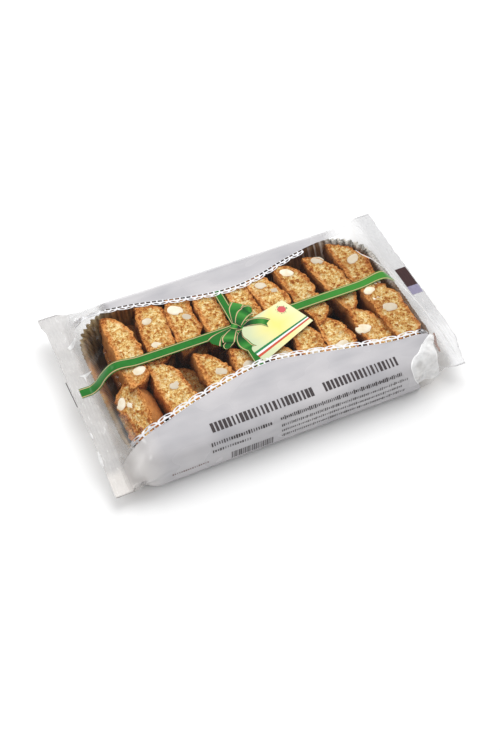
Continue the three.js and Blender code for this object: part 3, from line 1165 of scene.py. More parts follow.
FRONT_ROW = [
    (-70, 5.5, -63.5, -60, 31, 26, 21, 5, (3, 4), [(-67, -22, 0.75, 0.6)]),
    (-52, -2, -53, -55, 21, 18, 18, -4, (3, 4), []),
    (-37, -3, -38.5, -60, 32, 27, 21, 5, (2.6, 4), [(-35, -24.5, 0.85, 0.5)]),
    (-16, -9, -17.5, -60, 32, 27, 19, 4, (2.6, 4), [(-16, -27, 0.9, 0.5)]),
    (8, -13, 8.5, -61, 32, 28, 18.5, 3, (3, 4), [(9, -30, 0.9, 0.5)]),
    (31, -11, 27, -61, 32, 28, 20.5, 4, (3, 4), [(29, -35, 0.8, 0.3)]),
    (50.5, -10, 48.5, -61, 32, 28, 20.5, 1, (2.2, 4), [(48, -37, 0.95, 0.2)]),
    (72.5, -10, 77.5, -60, 33, 28, 20.5, 1, (2.3, 4), [(67, -31, 1.05, 0), (70.5, -43, 0.6, 0.2)]),
    (91, 8.5, 96, -56, 35, 33, 21.5, -1, (3.2, 3.5), [
        (85.5, -4.5, 0.8, 0),
        (86.5, -12, 0.5, 0.1),
        (94, 0, 0.5, 0.3),
        (91.3, -23, 1.0, 0.65),
        (94.4, -39, 0.45, 0),
    ]),
]
ROW_SHADES = {6: 0.12, 7: 0.15, 8: 0.25, 10: 0.7, 17: 0.2}  # painted shade on single slices; the darkest one lies deeper than the rest
OPEN_SIDES = {0: 0.45, 9: 0.6}  # slices with room beside them, whose sides get less painted shade

# %% A slice's place in the tray
FILM_CLEARANCE = 0.35
WALL_CLEARANCE = 2.2  # from the tray's wall line, inside its pleats


def in_tray(points):
    """The points, kept above the tray's floor and inside its leaning walls."""
    kept = points.copy()
    kept[:, 2] = np.maximum(points[:, 2], TRAY_FLOOR + 2 * BOARD)
    lean = TRAY_FLARE * span(kept[:, 2], TRAY_FLOOR, TRAY_FLOOR + TRAY_HEIGHT) ** WALL_CURVE
    core = np.array([TRAY_LENGTH / 2 - TRAY_CORNER, TRAY_WIDTH / 2 - TRAY_CORNER])
    flat = points[:, :2] - (0, BODY_OFFSET)
    nearest = np.clip(flat, -core, core)
    away = flat - nearest
    distance = np.linalg.norm(away, axis=1)
    reach = np.minimum(distance, TRAY_CORNER + lean - WALL_CLEARANCE)
    low = kept[:, 2] < TRAY_FLOOR + TRAY_HEIGHT
    inside = nearest + away * (reach / np.maximum(distance, 1e-9))[:, None] + (0, BODY_OFFSET)
    kept[:, :2] = np.where(low[:, None], inside, points[:, :2])
    return kept


class Place:
    """Where a slice lies: the middle of its cut face, and its three directions."""

    def __init__(self, back, front, lean):
        back, front = np.asarray(back, float), np.asarray(front, float)
        self.length = np.linalg.norm(front - back)
        self.along = (front - back) / self.length
        level = np.cross((0, 0, 1), self.along)
        level /= np.linalg.norm(level)
        upright = np.cross(self.along, level)
        lean = math.radians(lean)
        self.across = level * math.cos(lean) - upright * math.sin(lean)
        self.up = np.cross(self.along, self.across)
        self.middle = (back + front) / 2

    def world(self, points, thickness):
        """Points of the slice's own frame, with its cut face through the middle of the place."""
        frame_axes = np.array([self.along, self.across, self.up])
        return self.middle + (points - (0, 0, thickness / 2)) @ frame_axes

    def spot(self, x, y):
        """How far along and across the cut face the place over x and y lies."""
        flat = np.array([self.along[:2], self.across[:2]]).T
        return np.linalg.solve(flat, np.array([x, y]) - self.middle[:2])


# %% Bake and lay the top slices
THICKNESS = 17.5
NUT_TURNS = (0.9, 2.1)  # radians from the slice's length
almond_spots = []
turns = np.random.default_rng(5)


def lay_slice(name, row, seed, shade=0.0, side=1.0, turned=0.0):
    """One slice as a piece. shade is painted over all of it, side scales the painted shade on its sides,
    turned swings its almonds lengthwise.
    """
    back_x, back_y, front_x, front_y, back_z, front_z, width, lean, blunt, nuts = row
    place = Place((back_x, back_y, back_z), (front_x, front_y, front_z), lean)
    nuts = [(*place.spot(x, y), turns.uniform(*NUT_TURNS) - turned, *look) for x, y, *look in nuts]
    points, faces, masks = bake(place.length, width, THICKNESS, blunt, seed, [nut[:4] for nut in nuts])
    points = in_tray(under_film(place.world(points, THICKNESS), FILM_CLEARANCE))
    almond_spots.extend((place, nut) for nut in nuts)
    masks["shade"] = np.maximum(masks["shade"] * side, shade)
    thing = piece(name, points, faces, "biscuit", dough, masks)
    face_outwards(thing)
    return thing


for number, row in enumerate(BACK_ROW + FRONT_ROW):
    shades = ROW_SHADES.get(number, 0.0), OPEN_SIDES.get(number, 1.0)
    lay_slice(f"biscuit_{number + 1:02d}", row, 100 + 20 * number, *shades)
print(len(BACK_ROW + FRONT_ROW), "slices on top,", len(almond_spots), "almonds")

# %% [markdown]
# ## The slice on its side, and the lower layer
#
# One slice at the left end has rolled over, so that the smooth tan sole of the log faces up to the right.
# Another stands against the end wall, with a little painted shade on it. Below the top layer lies a
# second one, which only shows dimly in the gaps, and is painted in shade all over. It is laid out by a
# rule with a little random play, and made as one piece.

# %% Lay them
LOWER_SHADE, LOWER_THICKNESS, LOWER_GRADE = 0.7, 12.5, 0.55
LOWER_WIDTH, LOWER_HALF_LENGTH, LOWER_TOP = 20, 26, 15.5
LOWER_REACH, LOWER_BACK_Y, LOWER_ROW_PITCH = 88, 28, 53
ROLLED_NUTS = [(-103.4, -19, 0.9, 0), (-98.8, -24, 0.6, 0)]
ROLLED_SLICE = (-98.2, -52, -99.5, -7, 26, 27, 19.5, 34, (5, 7), ROLLED_NUTS)
LEANING_SLICE = (-108, -22, -106, -60, 18, 17, 19, -62, (3, 3), [])


def lay_lower(rows, per_row):
    """The lower layer as one mesh."""
    draw = np.random.default_rng(77)
    all_points, all_faces, all_masks, first = [], [], [], 0
    for row in range(rows):
        for column in range(per_row):
            x = LOWER_REACH * (2 * column / (per_row - 1) - 1) + draw.uniform(-2, 2)
            y = BODY_OFFSET + (LOWER_BACK_Y - LOWER_ROW_PITCH * row) + draw.uniform(-2, 2)
            turn = math.radians(draw.uniform(-9, 9))
            reach = np.array([math.sin(turn), -math.cos(turn), 0]) * LOWER_HALF_LENGTH
            middle = np.array([x, y, LOWER_TOP + draw.uniform(-1.5, 1)])
            place = Place(middle - reach, middle + reach, draw.uniform(-4, 4))
            blunt, seed = draw.uniform(2.6, 5, 2), 900 + 31 * len(all_points)
            sizes = place.length, LOWER_WIDTH, LOWER_THICKNESS
            points, faces, masks = bake(*sizes, blunt, seed, grade=LOWER_GRADE)
            all_points.append(in_tray(place.world(points, LOWER_THICKNESS)))
            all_faces.append(faces + first)
            all_masks.append(masks)
            first += len(points)
    masks = {key: np.concatenate([m[key] for m in all_masks]) for key in all_masks[0]}
    # painted shade over the whole lower layer
    masks["shade"] = np.maximum(masks["shade"], LOWER_SHADE)
    points, faces = np.concatenate(all_points), np.concatenate(all_faces)
    thing = piece("biscuits_below", points, faces, "biscuit", dough, masks)
    face_outwards(thing)
    return thing


lay_slice("biscuit_rolled", ROLLED_SLICE, 705, side=0.2, turned=1.5)
# the slice against the end wall gets some painted shade all over
lay_slice("biscuit_leaning", LEANING_SLICE, 733, 0.3)
below = lay_lower(2, 8)
print("lower layer:", len(below.data.polygons), "faces")

# %% [markdown]
# ## Almonds
#
# Whole almonds go into the dough, so each cut shows some of them sliced: a cream oval in a thin brown
# skin, dull and a little domed. One almond is drawn as a coarse dome, and Geometry Nodes put a copy at
# each noted spot, turned and sized by attributes of the points, and then roughen its outline.

# %% One almond
ALMOND_AROUND, ALMOND_RINGS, ALMOND_RISE = 22, 7, 0.75


def almond_dome():
    """A cut almond: a low dome above the crumb and a deeper one in it."""
    angle = np.linspace(0, 2 * np.pi, ALMOND_AROUND, endpoint=False)
    rise = np.linspace(-np.pi / 2, np.pi / 2, ALMOND_RINGS + 1)[:, None]
    radius = np.cos(rise) ** 0.5
    pointed = 1 + 0.1 * np.cos(angle)
    x = ALMOND[0] * radius * np.cos(angle) * pointed
    y = ALMOND[1] * radius * np.sin(angle)
    z = np.where(rise > 0, ALMOND_RISE, ALMOND[2]) * np.sin(rise) + 0 * angle
    faces = net_faces(ALMOND_RINGS + 1, ALMOND_AROUND, closed=True)
    return np.stack([x, y, z], axis=-1).reshape(-1, 3), faces


def almond_points():
    """A mesh of loose points, with the turn, the size and the dullness of each almond."""
    spots, turns = [], []
    for place, (u, w, turn, _, _) in almond_spots:
        spots.append((place.middle + u * place.along + w * place.across) * MM)
        along, across = Vector(place.along), Vector(place.across)
        matrix = Matrix((along, across, along.cross(across))).transposed()
        turns.append((matrix @ Matrix.Rotation(turn, 3, "Z")).to_euler())
    mesh = bpy.data.meshes.new("almond_points")
    mesh.from_pydata(spots, [], [])
    mesh.attributes.new("turn", "FLOAT_VECTOR", "POINT").data.foreach_set("vector", np.ravel(turns))
    for number, key in ((3, "size"), (4, "dull")):
        values = [nut[number] for _, nut in almond_spots]
        mesh.attributes.new(key, "FLOAT", "POINT").data.foreach_set("value", values)
    return mesh


def almond_tree():
    sheet, given = tree_inputs("almonds", Spots="", Almond="", Roughness=1.0, Seed=1)
    node = sheet.node
    spots = node("GeometryNodeObjectInfo", {}, {0: given["Spots"]}).other("Geometry")
    almond = node("GeometryNodeObjectInfo", {}, {0: given["Almond"]}).other("Geometry")
    turn = node("GeometryNodeInputNamedAttribute", {"data_type": "FLOAT_VECTOR"}, {"Name": "turn"})
    size = node("GeometryNodeInputNamedAttribute", {"data_type": "FLOAT"}, {"Name": "size"})
    loose = node("GeometryNodeMeshToPoints", {}, {0: spots})
    inputs = {"Points": loose, "Instance": almond, "Rotation": turn, "Scale": size}
    whole = node("GeometryNodeRealizeInstances", {}, {0: node("GeometryNodeInstanceOnPoints", {}, inputs)})
    place = node("GeometryNodeInputPosition")
    inputs = {"Vector": place, "Scale": 260.0, "W": given["Seed"]}
    bumps = node("ShaderNodeTexNoise", {"noise_dimensions": "4D"}, inputs, out=1)
    push = bumps.vector("SUBTRACT", (0.5, 0.5, 0.5)).scaled(given["Roughness"])
    return sheet, node("GeometryNodeSetPosition", {}, {"Geometry": whole, "Offset": push})


def make_almonds():
    dome_points, dome_faces = almond_dome()
    almond = piece("almond_dome", dome_points, dome_faces, None, nut)
    pieces.pop()
    face_outwards(almond)
    spots = bpy.data.objects.new("almond_points", almond_points())
    scene.collection.objects.link(spots)
    sheet, geometry = almond_tree()
    values = {"Spots": spots, "Almond": almond, "Roughness": 1.3 * MM, "Seed": 4}
    almonds = grow("almonds", sheet, geometry, nut.material, values)
    bpy.data.objects.remove(spots)
    bpy.data.objects.remove(almond)
    face_outwards(almonds)
    pieces.append((almonds, "almond"))
    return almonds


almonds = make_almonds()
print("almonds:", len(almonds.data.polygons), "faces")

# %% [markdown]
# ## The lace edge
#
# Each white band ends in printed lace: a row of clear dashes, a white line, and scallops that point
# towards the window, each with two clear leaves in it. One scallop is the motif. It is drawn flat as
# a 2D curve, which Blender fills with its holes left open. Geometry Nodes repeat it in a row, bend the
# row along the edge's path, and the flat result is then laid on the film.

# %% The motif
SCALLOP, DASHES, DASH_LONG, DASH_WIDE = 12.3, 3, 3.0, 1.5
LACE_FOOT, LINE_TOP, SCALLOP_RISE = -1.0, 1.3, 2.0
LEAF_LONG, LEAF_WIDE, LEAF_ASIDE, LEAF_TILT = 4.2, 1.1, 2.5, 0.25
LACE_LIFT = 0.2


def outline(points):
    """A closed 2D outline for the filled curve, in metres."""
    return [(x * MM, y * MM, 0) for x, y in points]


def scallop_motif():
    """Outlines of one scallop: its edge, its dashes and its two leaves."""
    edge = [(0, LACE_FOOT), (SCALLOP, LACE_FOOT)]
    turn = np.linspace(0, np.pi, 17)
    arch = LINE_TOP + 0.35 + SCALLOP_RISE * np.sin(turn) ** 0.8
    edge += [(SCALLOP / 2 * (1 + math.cos(a)), float(y)) for a, y in zip(turn, arch)]
    outlines = [edge]
    pitch = SCALLOP / DASHES
    for k in range(DASHES):
        x, w, h = pitch * (k + 0.5), DASH_LONG / 2, DASH_WIDE / 2
        outlines.append([(x - w, -h), (x + w, -h), (x + w, h), (x - w, h)])
    for side in (-1, 1):
        x, y = SCALLOP / 2 + side * LEAF_ASIDE, LINE_TOP + 1.0
        lean = complex(math.cos(LEAF_TILT), -side * math.sin(LEAF_TILT))
        leaf = []
        for a in np.linspace(0, 2 * np.pi, 14, endpoint=False):
            u, v = LEAF_LONG / 2 * math.cos(a), LEAF_WIDE / 2 * math.sin(a) * abs(math.sin(a)) ** 0.4
            turned = complex(u, v) * lean
            leaf.append((x + turned.real, y + turned.imag))
        outlines.append(leaf)
    return outlines


def filled(name, outlines):
    """A flat mesh object filled between outlines; an outline inside another is a hole."""
    curve = bpy.data.curves.new(name, "CURVE")
    curve.dimensions, curve.fill_mode = "2D", "BOTH"
    for points in outlines:
        spline = curve.splines.new("POLY")
        spline.points.add(len(points) - 1)
        spline.points.foreach_set("co", np.ravel([(x, y, z, 1) for x, y, z in outline(points)]))
        spline.use_cyclic_u = True
    drawn = bpy.data.objects.new(name, curve)
    scene.collection.objects.link(drawn)
    mesh = bpy.data.meshes.new_from_object(drawn.evaluated_get(bpy.context.evaluated_depsgraph_get()))
    bpy.data.objects.remove(drawn)
    flat = bpy.data.objects.new(name, mesh)
    scene.collection.objects.link(flat)
    return flat


# %% The row of motifs along a path
def path_object(knots):
    """A poly curve through the knots' smooth path, flat in x and s."""
    path = smooth_path(laid(knots), 2)
    curve = bpy.data.curves.new("path", "CURVE")
    curve.dimensions = "3D"
    spline = curve.splines.new("POLY")
    spline.points.add(len(path) - 1)
    spline.points.foreach_set("co", np.ravel([(x * MM, s * MM, 0, 1) for x, s in path]))
    drawn = bpy.data.objects.new("path", curve)
    scene.collection.objects.link(drawn)
    return drawn


def row_tree():
    """Repeats a flat motif in a row, and bends the row along a path. Side -1 turns it over."""
    sheet, given = tree_inputs("motif_row", Motif="", Path="", Count=1, Pitch=1.0, Stretch=1.0, Side=1.0)
    node = sheet.node
    motif = node("GeometryNodeObjectInfo", {}, {0: given["Motif"]}).other("Geometry")
    path = node("GeometryNodeObjectInfo", {}, {0: given["Path"]}).other("Geometry")
    step = node("ShaderNodeCombineXYZ", {}, {"X": given["Pitch"]})
    line = node("GeometryNodeMeshLine", {"mode": "OFFSET"}, {"Count": given["Count"], "Offset": step})
    row = node("GeometryNodeInstanceOnPoints", {}, {"Points": line, "Instance": motif})
    whole = node("GeometryNodeRealizeInstances", {}, {0: row})
    flat = node("ShaderNodeSeparateXYZ", {}, {0: node("GeometryNodeInputPosition")})
    settings = {"data_type": "FLOAT", "mode": "LENGTH", "use_all_curves": True}
    inputs = {"Curves": path, "Length": flat * given["Stretch"]}
    spot = node("GeometryNodeSampleCurve", settings, inputs, out=1)
    inputs = {0: (0, 0, 1), 1: spot.other("Tangent")}
    aside = node("ShaderNodeVectorMath", {"operation": "CROSS_PRODUCT"}, inputs)
    place = spot.vector("ADD", aside.scaled(flat.other("Y") * given["Side"]))
    return sheet, node("GeometryNodeSetPosition", {}, {"Geometry": whole, "Position": place})


# %% Laying a print on the film
def face_up(thing):
    """Turns the faces of a print so that they face out of the pack."""
    work = bmesh.new()
    work.from_mesh(thing.data)
    bmesh.ops.triangulate(work, faces=[face for face in work.faces if len(face.verts) > 4])
    middle = Vector((0, BODY_OFFSET, BELLY_HEIGHT)) * MM
    for face in work.faces:
        centre = face.calc_center_median()
        outward = Vector((0, centre.y - middle.y, (centre.z - middle.z) * 4))
        if face.normal.dot(outward) < 0:
            face.normal_flip()
    work.to_mesh(thing.data)
    work.free()


def lay_on_film(thing, lift):
    """Moves a flat mesh, drawn in x and s, on to the film."""
    flat = points_of(thing)
    move_points(thing, film_at(flat[:, 0], flat[:, 1], lift))
    face_up(thing)


# %% The two lace edges
def make_lace(name, knots, side):
    motif, path = filled("scallop", scallop_motif()), path_object(knots)
    length = even_path(laid(knots), 2)[1][-1]
    count = round(length / SCALLOP)
    stretch = length / SCALLOP / count
    sheet, geometry = row_tree()
    values = {"Motif": motif, "Path": path, "Count": count}
    values |= {"Pitch": SCALLOP * MM, "Stretch": stretch, "Side": side}
    lace = grow(name, sheet, geometry, lace_ink.material, values)
    for helper in (motif, path):
        bpy.data.objects.remove(helper)
    lay_on_film(lace, LACE_LIFT)
    pieces.append((lace, "white_print"))
    return lace


def lace_finish():
    finish = Finish("lace_print", IOR=1.5, Coat_Weight=0.4)
    cloud = finish.noise(25, 2)
    tone = finish.mix(cloud, (0.7, 0.7, 0.73), (0.84, 0.84, 0.85))
    finish.feed(Base_Color=tone, Roughness=0.25 + cloud * 0.1)
    finish.bump(finish.noise(2, 2), 0.05, 0.3)
    x, _, _ = finish.axes()
    finish.see_through(x.span(-0.113, -0.104))
    return finish


lace_ink = lace_finish()
lace_front = make_lace("lace_front", LACE_FRONT[1:], 1.0)
lace_back = make_lace("lace_back", LACE_BACK[:-1], -1.0)
print("lace:", len(lace_front.data.polygons) + len(lace_back.data.polygons), "faces")

# %% [markdown]
# ## The printed ribbon and its bow
#
# The ribbon is printed too: a green band with two thin gold lines, along the pack and across it, tied in
# a bow. Every length of it is a strip along a smooth path. The strip's UV map says how far along and how
# far across a point is, so one finish draws the lines near both edges, and shades a loop where it
# folds under.

# %% Strips along a path
STRIP_COLUMNS, STRIP_STEP, EDGE_STEP = 12, 0.9, 0.7
LAYER = 0.03  # how far each part of a print lies above the one before


def strip(knots, widths):
    """A flat strip through knots in x and s, with its widths spread along it: points, faces and uv."""
    count = max(8, int(even_path(knots, 2)[1][-1] / STRIP_STEP))
    path, at = even_path(knots, count)
    along = np.gradient(path, axis=0)
    along /= np.linalg.norm(along, axis=1, keepdims=True)
    aside = np.stack([-along[:, 1], along[:, 0]], axis=-1)
    width = np.interp(np.linspace(0, 1, count), np.linspace(0, 1, len(widths)), widths)
    across = np.linspace(-0.5, 0.5, STRIP_COLUMNS)
    flat = path[:, None] + aside[:, None] * (width[:, None] * across)[..., None]
    u, v = np.broadcast_arrays(at[:, None] / at[-1], across + 0.5)
    return flat.reshape(-1, 2), net_faces(count, STRIP_COLUMNS), np.stack([u, v], axis=-1).reshape(-1, 2)


def between(left, right, fold, notch=None):
    """A strip between two edges, with its fold values spread along it. notch is where its end is cut in."""
    count = max(8, int(even_path(left, 2)[1][-1] / EDGE_STEP))
    share = np.linspace(0, 1, count)
    edges = even_path(left, count)[0], even_path(right, count)[0]
    u, v = np.broadcast_arrays(share[:, None], np.linspace(0, 1, STRIP_COLUMNS))
    flat = edges[0][:, None] * (1 - v[..., None]) + edges[1][:, None] * v[..., None]
    if notch is not None:
        pull = (1 - np.abs(2 * v - 1)) * span(u, 0.7, 1)
        flat = flat + (np.array(notch) - (edges[0][-1] + edges[1][-1]) / 2) * pull[..., None]
    fold = np.interp(u, np.linspace(0, 1, len(fold)), fold)
    return flat.reshape(-1, 2), net_faces(*u.shape), np.stack([u, v], axis=-1).reshape(-1, 2), fold.ravel()


def printed(name, parts, lift, slot, finish):
    """One piece from flat parts, laid on the film one above the other."""
    points, faces, uvs, folds, first = [], [], [], [], 0
    for layer, (flat, part_faces, uv, *fold) in enumerate(parts):
        points.append(film_at(flat[:, 0], flat[:, 1], lift + LAYER * layer))
        faces += [[first + int(i) for i in face] for face in part_faces]
        uvs.append(uv)
        folds.append(fold[0] if fold else np.zeros(len(flat)))
        first += len(flat)
    masks = {"fold": np.concatenate(folds)}
    thing = piece(name, np.concatenate(points), faces, slot, finish, masks, uv=np.concatenate(uvs))
    face_up(thing)
    return thing


# %% The ribbon's finish
def ribbon_finish():
    """Green print with two gold lines, dark where a fold turns in and light where it bulges."""
    finish = Finish("ribbon_print", Specular_IOR_Level=0.3, Coat_Weight=0.2, Coat_Roughness=0.08)
    _, v, _ = finish.axes(finish.node("ShaderNodeUVMap"))
    edge = (v - 0.5).math("ABSOLUTE")
    line = (edge - 0.39).math("ABSOLUTE").span(0.045, 0.025)
    satin = finish.noise(5, 2, 0.5)
    green = finish.mix(satin, (0.0075, 0.115, 0.0125), (0.022, 0.205, 0.024))
    x, _, _ = finish.axes()
    green = finish.mix(x.span(0.0, 0.11) * 0.5, green, (0.085, 0.34, 0.04))
    fold = finish.mask("fold")
    green = finish.mix(fold.clamp(), green, (0.003, 0.03, 0.01))
    green = finish.mix((fold * -1).clamp(), green, (0.13, 0.45, 0.08))
    tone = finish.mix(line, green, (0.62, 0.4, 0.24))
    finish.feed(Base_Color=tone, Roughness=0.3 + satin * 0.1)
    finish.bump(satin, 0.06, 0.3)
    return finish


# %% The straight ribbon and the bow
RIBBON_PATH = [(-124, 4.5), (-112, 4.5), (-100, 6), (-38, 6.1), (40, 6.3), (109.5, 6.3)]
RIBBON_WIDTHS = (9, 8, 7.5, 7.5, 7.5, 7.5, 7.5, 7)
CROSS_PATH = [(-11.1, 46), (-10.9, 30), (-10.8, 10), (-10.6, -12), (-9.8, -32)]
RIBBON_LIFT, CROSS_LIFT, CROSS_WIDTH = 0.14, 0.05, 5.9
BOW = [
    # left edge, right edge, fold, and for a tail its notch, from the lowest part to the highest
    (
        [(-10.1, 2.7), (-14.3, -0.5), (-16.8, -5), (-17.2, -9.6), (-15.8, -13), (-13.7, -15.8)],
        [(-9.8, 1.4), (-10.6, -3.1), (-9.1, -7.1), (-7.5, -11.6), (-5.6, -14)],
        (1, 1, 0.7, 0, -0.3, 0.1),
        (-11.3, -13.1),
    ),
    (
        [(-7, 5.9), (-2, 8.8), (1.8, 9), (8, 6.9), (12.2, 3.4)],
        [(-7.4, 4.1), (-3, 3.4), (3.6, 1.5), (6.1, -0.4), (8, -2.8)],
        (1, 1, 0.1, -0.4, 0.2),
        (8.4, 1),
    ),
    (
        [(-12.8, 10), (-12, 16.4), (-10.4, 23.6), (-6.2, 28.8)],
        [(-10.8, 9.1), (-8, 13.6), (-4, 17.7), (1.6, 22)],
        (0.8, 0.2, 0, -0.4),
    ),
    (
        [(-2.3, 20.7), (0.7, 21.6), (3.6, 21.3), (5.1, 18.7)],
        [(-0.4, 17.4), (0.4, 14.3), (1.5, 12.5), (3.3, 13.5)],
        (1, 0.4, -0.2, 0.2),
    ),
    (
        [(-11.4, 10.3), (-9.1, 15.1), (-6, 19.1), (-2.2, 20.9)],
        [(-7.8, 5.8), (-4.3, 8.6), (-0.2, 11.1), (3.4, 12)],
        (0.7, 0, -0.3, 0.6),
    ),
    (
        [(-16.3, 7.4), (-23.5, 7), (-30.1, 6.1), (-33.7, 4.4)],
        [(-16.6, 5.9), (-23.6, 2.3), (-26, -1.4), (-27.4, -5.5)],
        (0.8, 0.3, 0.1, 0.3),
        (-32.6, -0.6),
    ),
    (
        [(-24.6, -3.2), (-26.9, -5.2), (-26.7, -8.1), (-24.6, -9.1)],
        [(-18, -5.7), (-19.5, -6.8), (-20.9, -7.4), (-22.5, -8.4)],
        (0.9, 0.4, 0.3, 0.6),
    ),
    (
        [(-16.8, 6.2), (-21.9, 3.9), (-25.4, 1.2), (-26.1, -2.5)],
        [(-12.3, 3.5), (-14.6, -0.8), (-16.3, -3.8), (-17.5, -5.7)],
        (0.6, 0.1, -0.4, 0.6),
    ),
    ([(-12.5, 4), (-10.8, 3.3)], [(-9.7, 7.4), (-8.6, 5.2)], (1, 1)),
    ([(-16.5, 7), (-12.5, 4)], [(-12.9, 11), (-9.7, 7.4)], (0.2, -0.5, 0.3)),
]
ribbon_ink = ribbon_finish()
straight, cross = strip(RIBBON_PATH, RIBBON_WIDTHS), strip(laid(CROSS_PATH), (CROSS_WIDTH,))
printed("ribbon_across", [cross], CROSS_LIFT, "colour_print", ribbon_ink)
printed("ribbon", [straight], RIBBON_LIFT, "colour_print", ribbon_ink)
bow = printed("bow", [between(*part) for part in BOW], RIBBON_LIFT + 0.1, "colour_print", ribbon_ink)
print("bow:", len(bow.data.polygons), "faces")

# %% [markdown]
# ## The tag
#
# A cream tag hangs from the bow. Its left edge swells into a lobe and is cut in below it, its middle
# glows yellow, a three-coloured stripe runs along its lower edge, and a small plain flower stands in one
# corner. It is a net between its left and its right edge, and its colours are read from the UV map.

# %% The tag
TAG_LEFT = [(-6.4, -28.3), (-8.6, -22), (-10.1, -16), (-8, -11), (-10.4, -5), (-10, 1), (-6, 5.5)]
TAG_LEFT += [(3.3, 9.9)]
TAG_RIGHT = [(38.1, -9.7), (26.8, 15.8)]
TAG_GRID = 34
FLOWER, FLOWER_SIZE = (22.9, 4.95), 3.0
STRIPES = (0.1, (0.55, 0.07, 0.03)), (0.14, (0.85, 0.85, 0.85)), (0.175, (0.01, 0.2, 0.06))
STRIPE_WIDTH = 0.04


def tag_net():
    v = np.linspace(0, 1, TAG_GRID)
    left, right = even_path(TAG_LEFT, TAG_GRID)[0], even_path(TAG_RIGHT, TAG_GRID)[0]
    flat = left[:, None] * (1 - v[None, :, None]) + right[:, None] * v[None, :, None]
    uv = np.stack(np.meshgrid(v, v, indexing="ij")[::-1], axis=-1)
    return flat.reshape(-1, 2), net_faces(TAG_GRID, TAG_GRID), uv.reshape(-1, 2)


def tag_finish():
    finish = Finish("tag_print", IOR=1.5, Coat_Weight=0.5, Coat_Roughness=0.08)
    u, v, _ = finish.axes(finish.node("ShaderNodeUVMap"))
    cream, pale = (0.8, 0.79, 0.46), (0.56, 0.63, 0.4)
    glow = ((u - 0.55).math("ABSOLUTE") * 2.2 + (v - 0.45).math("ABSOLUTE") * 1.2).span(1.1, 0.1)
    tone = finish.mix(u.span(0.0, 0.6), pale, cream)
    tone = finish.mix(glow, tone, (0.86, 0.75, 0.22))
    for start, colour in STRIPES:
        inside = v.math("GREATER_THAN", start) * v.math("LESS_THAN", start + STRIPE_WIDTH)
        tone = finish.mix(inside, tone, colour)
    flower = (*(c * MM for c in FLOWER), 0)
    away = finish.place.vector("MULTIPLY", (1, 1, 0)).vector("DISTANCE", flower).other("Value")
    petals = finish.noise(1.5, 2)
    ring = away * (1 / (FLOWER_SIZE * MM)) + (petals - 0.5) * 0.5
    tone = finish.mix(ring.span(1.5, 1.3) * petals.span(0.5, 0.55), tone, (0.03, 0.14, 0.04))
    tone = finish.mix(ring.span(1.02, 0.92), tone, (0.62, 0.09, 0.1))
    cloud = finish.noise(6, 2)
    finish.feed(Base_Color=tone, Roughness=0.28 + cloud * 0.12)
    finish.bump(cloud, 0.06, 0.3)
    return finish


tag = printed("tag", [tag_net()], RIBBON_LIFT + 0.06, "colour_print", tag_finish())
print("tag:", len(tag.data.polygons), "faces")

# %% [markdown]
# ## Dark print
#
# On the front wall stand a title, a block of small print and a bar code. The part carries no words, so
# plain dark bars take their places: tall ones for the title, thin ones for the small print. Each line
# is a row of bars with random widths from a fixed seed, made flat by Geometry Nodes and laid on the film.

# %% Rows of bars
PRINT_LIFT = 0.2
NARROWEST, WIDEST = 0.3, 0.8  # of a bar, in pitches


def bars_tree():
    """Bars of random width and height in a row. Narrow and Fill are the extreme widths, in pitches."""
    sizes = {"Pitch": 1.0, "Height": 1.0, "Shortest": 1.0, "Narrow": 1.0, "Fill": 1.0}
    sheet, given = tree_inputs("bar_row", Count=1, **sizes, Seed=1)
    node = sheet.node
    step = node("ShaderNodeCombineXYZ", {}, {"X": given["Pitch"]})
    line = node("GeometryNodeMeshLine", {"mode": "OFFSET"}, {"Count": given["Count"], "Offset": step})
    bar = node("GeometryNodeMeshGrid", {}, {0: 1.0, 1: 1.0, 2: 3, 3: 4})
    inputs = {2: given["Narrow"], 3: given["Fill"], "Seed": given["Seed"]}
    width = node("FunctionNodeRandomValue", {"data_type": "FLOAT"}, inputs, out=1)
    inputs = {2: given["Shortest"], 3: 1.0, "Seed": given["Seed"] + 7}
    height = node("FunctionNodeRandomValue", {"data_type": "FLOAT"}, inputs, out=1)
    scale = {"X": width * given["Pitch"], "Y": height * given["Height"], "Z": 1.0}
    size = node("ShaderNodeCombineXYZ", {}, scale)
    return sheet, node("GeometryNodeInstanceOnPoints", {}, {"Points": line, "Instance": bar, "Scale": size})


def bar_row(name, start, end, s, height, shortest, pitch, seed, finish):
    """A row of bars from x = start to end, centred on s."""
    sheet, geometry = bars_tree()
    values = {
        "Count": max(1, round((end - start) / pitch)),
        "Pitch": pitch * MM,
        "Height": height * MM,
        "Shortest": shortest,
        "Narrow": NARROWEST,
        "Fill": WIDEST,
        "Seed": seed,
    }
    row = grow(name, sheet, geometry, finish.material, values)
    row.data.transform(Matrix.Translation(((start + pitch / 2) * MM, s * MM, 0)))
    lay_on_film(row, PRINT_LIFT)
    pieces.append((row, "colour_print"))


def dark_finish():
    finish = Finish("dark_print", IOR=1.5, Coat_Weight=0.5, Coat_Roughness=0.08)
    cloud = finish.noise(1.2, 2)
    tone = finish.mix(cloud, (0.02, 0.016, 0.018), (0.075, 0.06, 0.062))
    finish.feed(Base_Color=tone, Roughness=0.3 + cloud * 0.2)
    finish.bump(cloud, 0.03, 0.3)
    return finish


# %% The lines of print
TITLE_S = -61.8
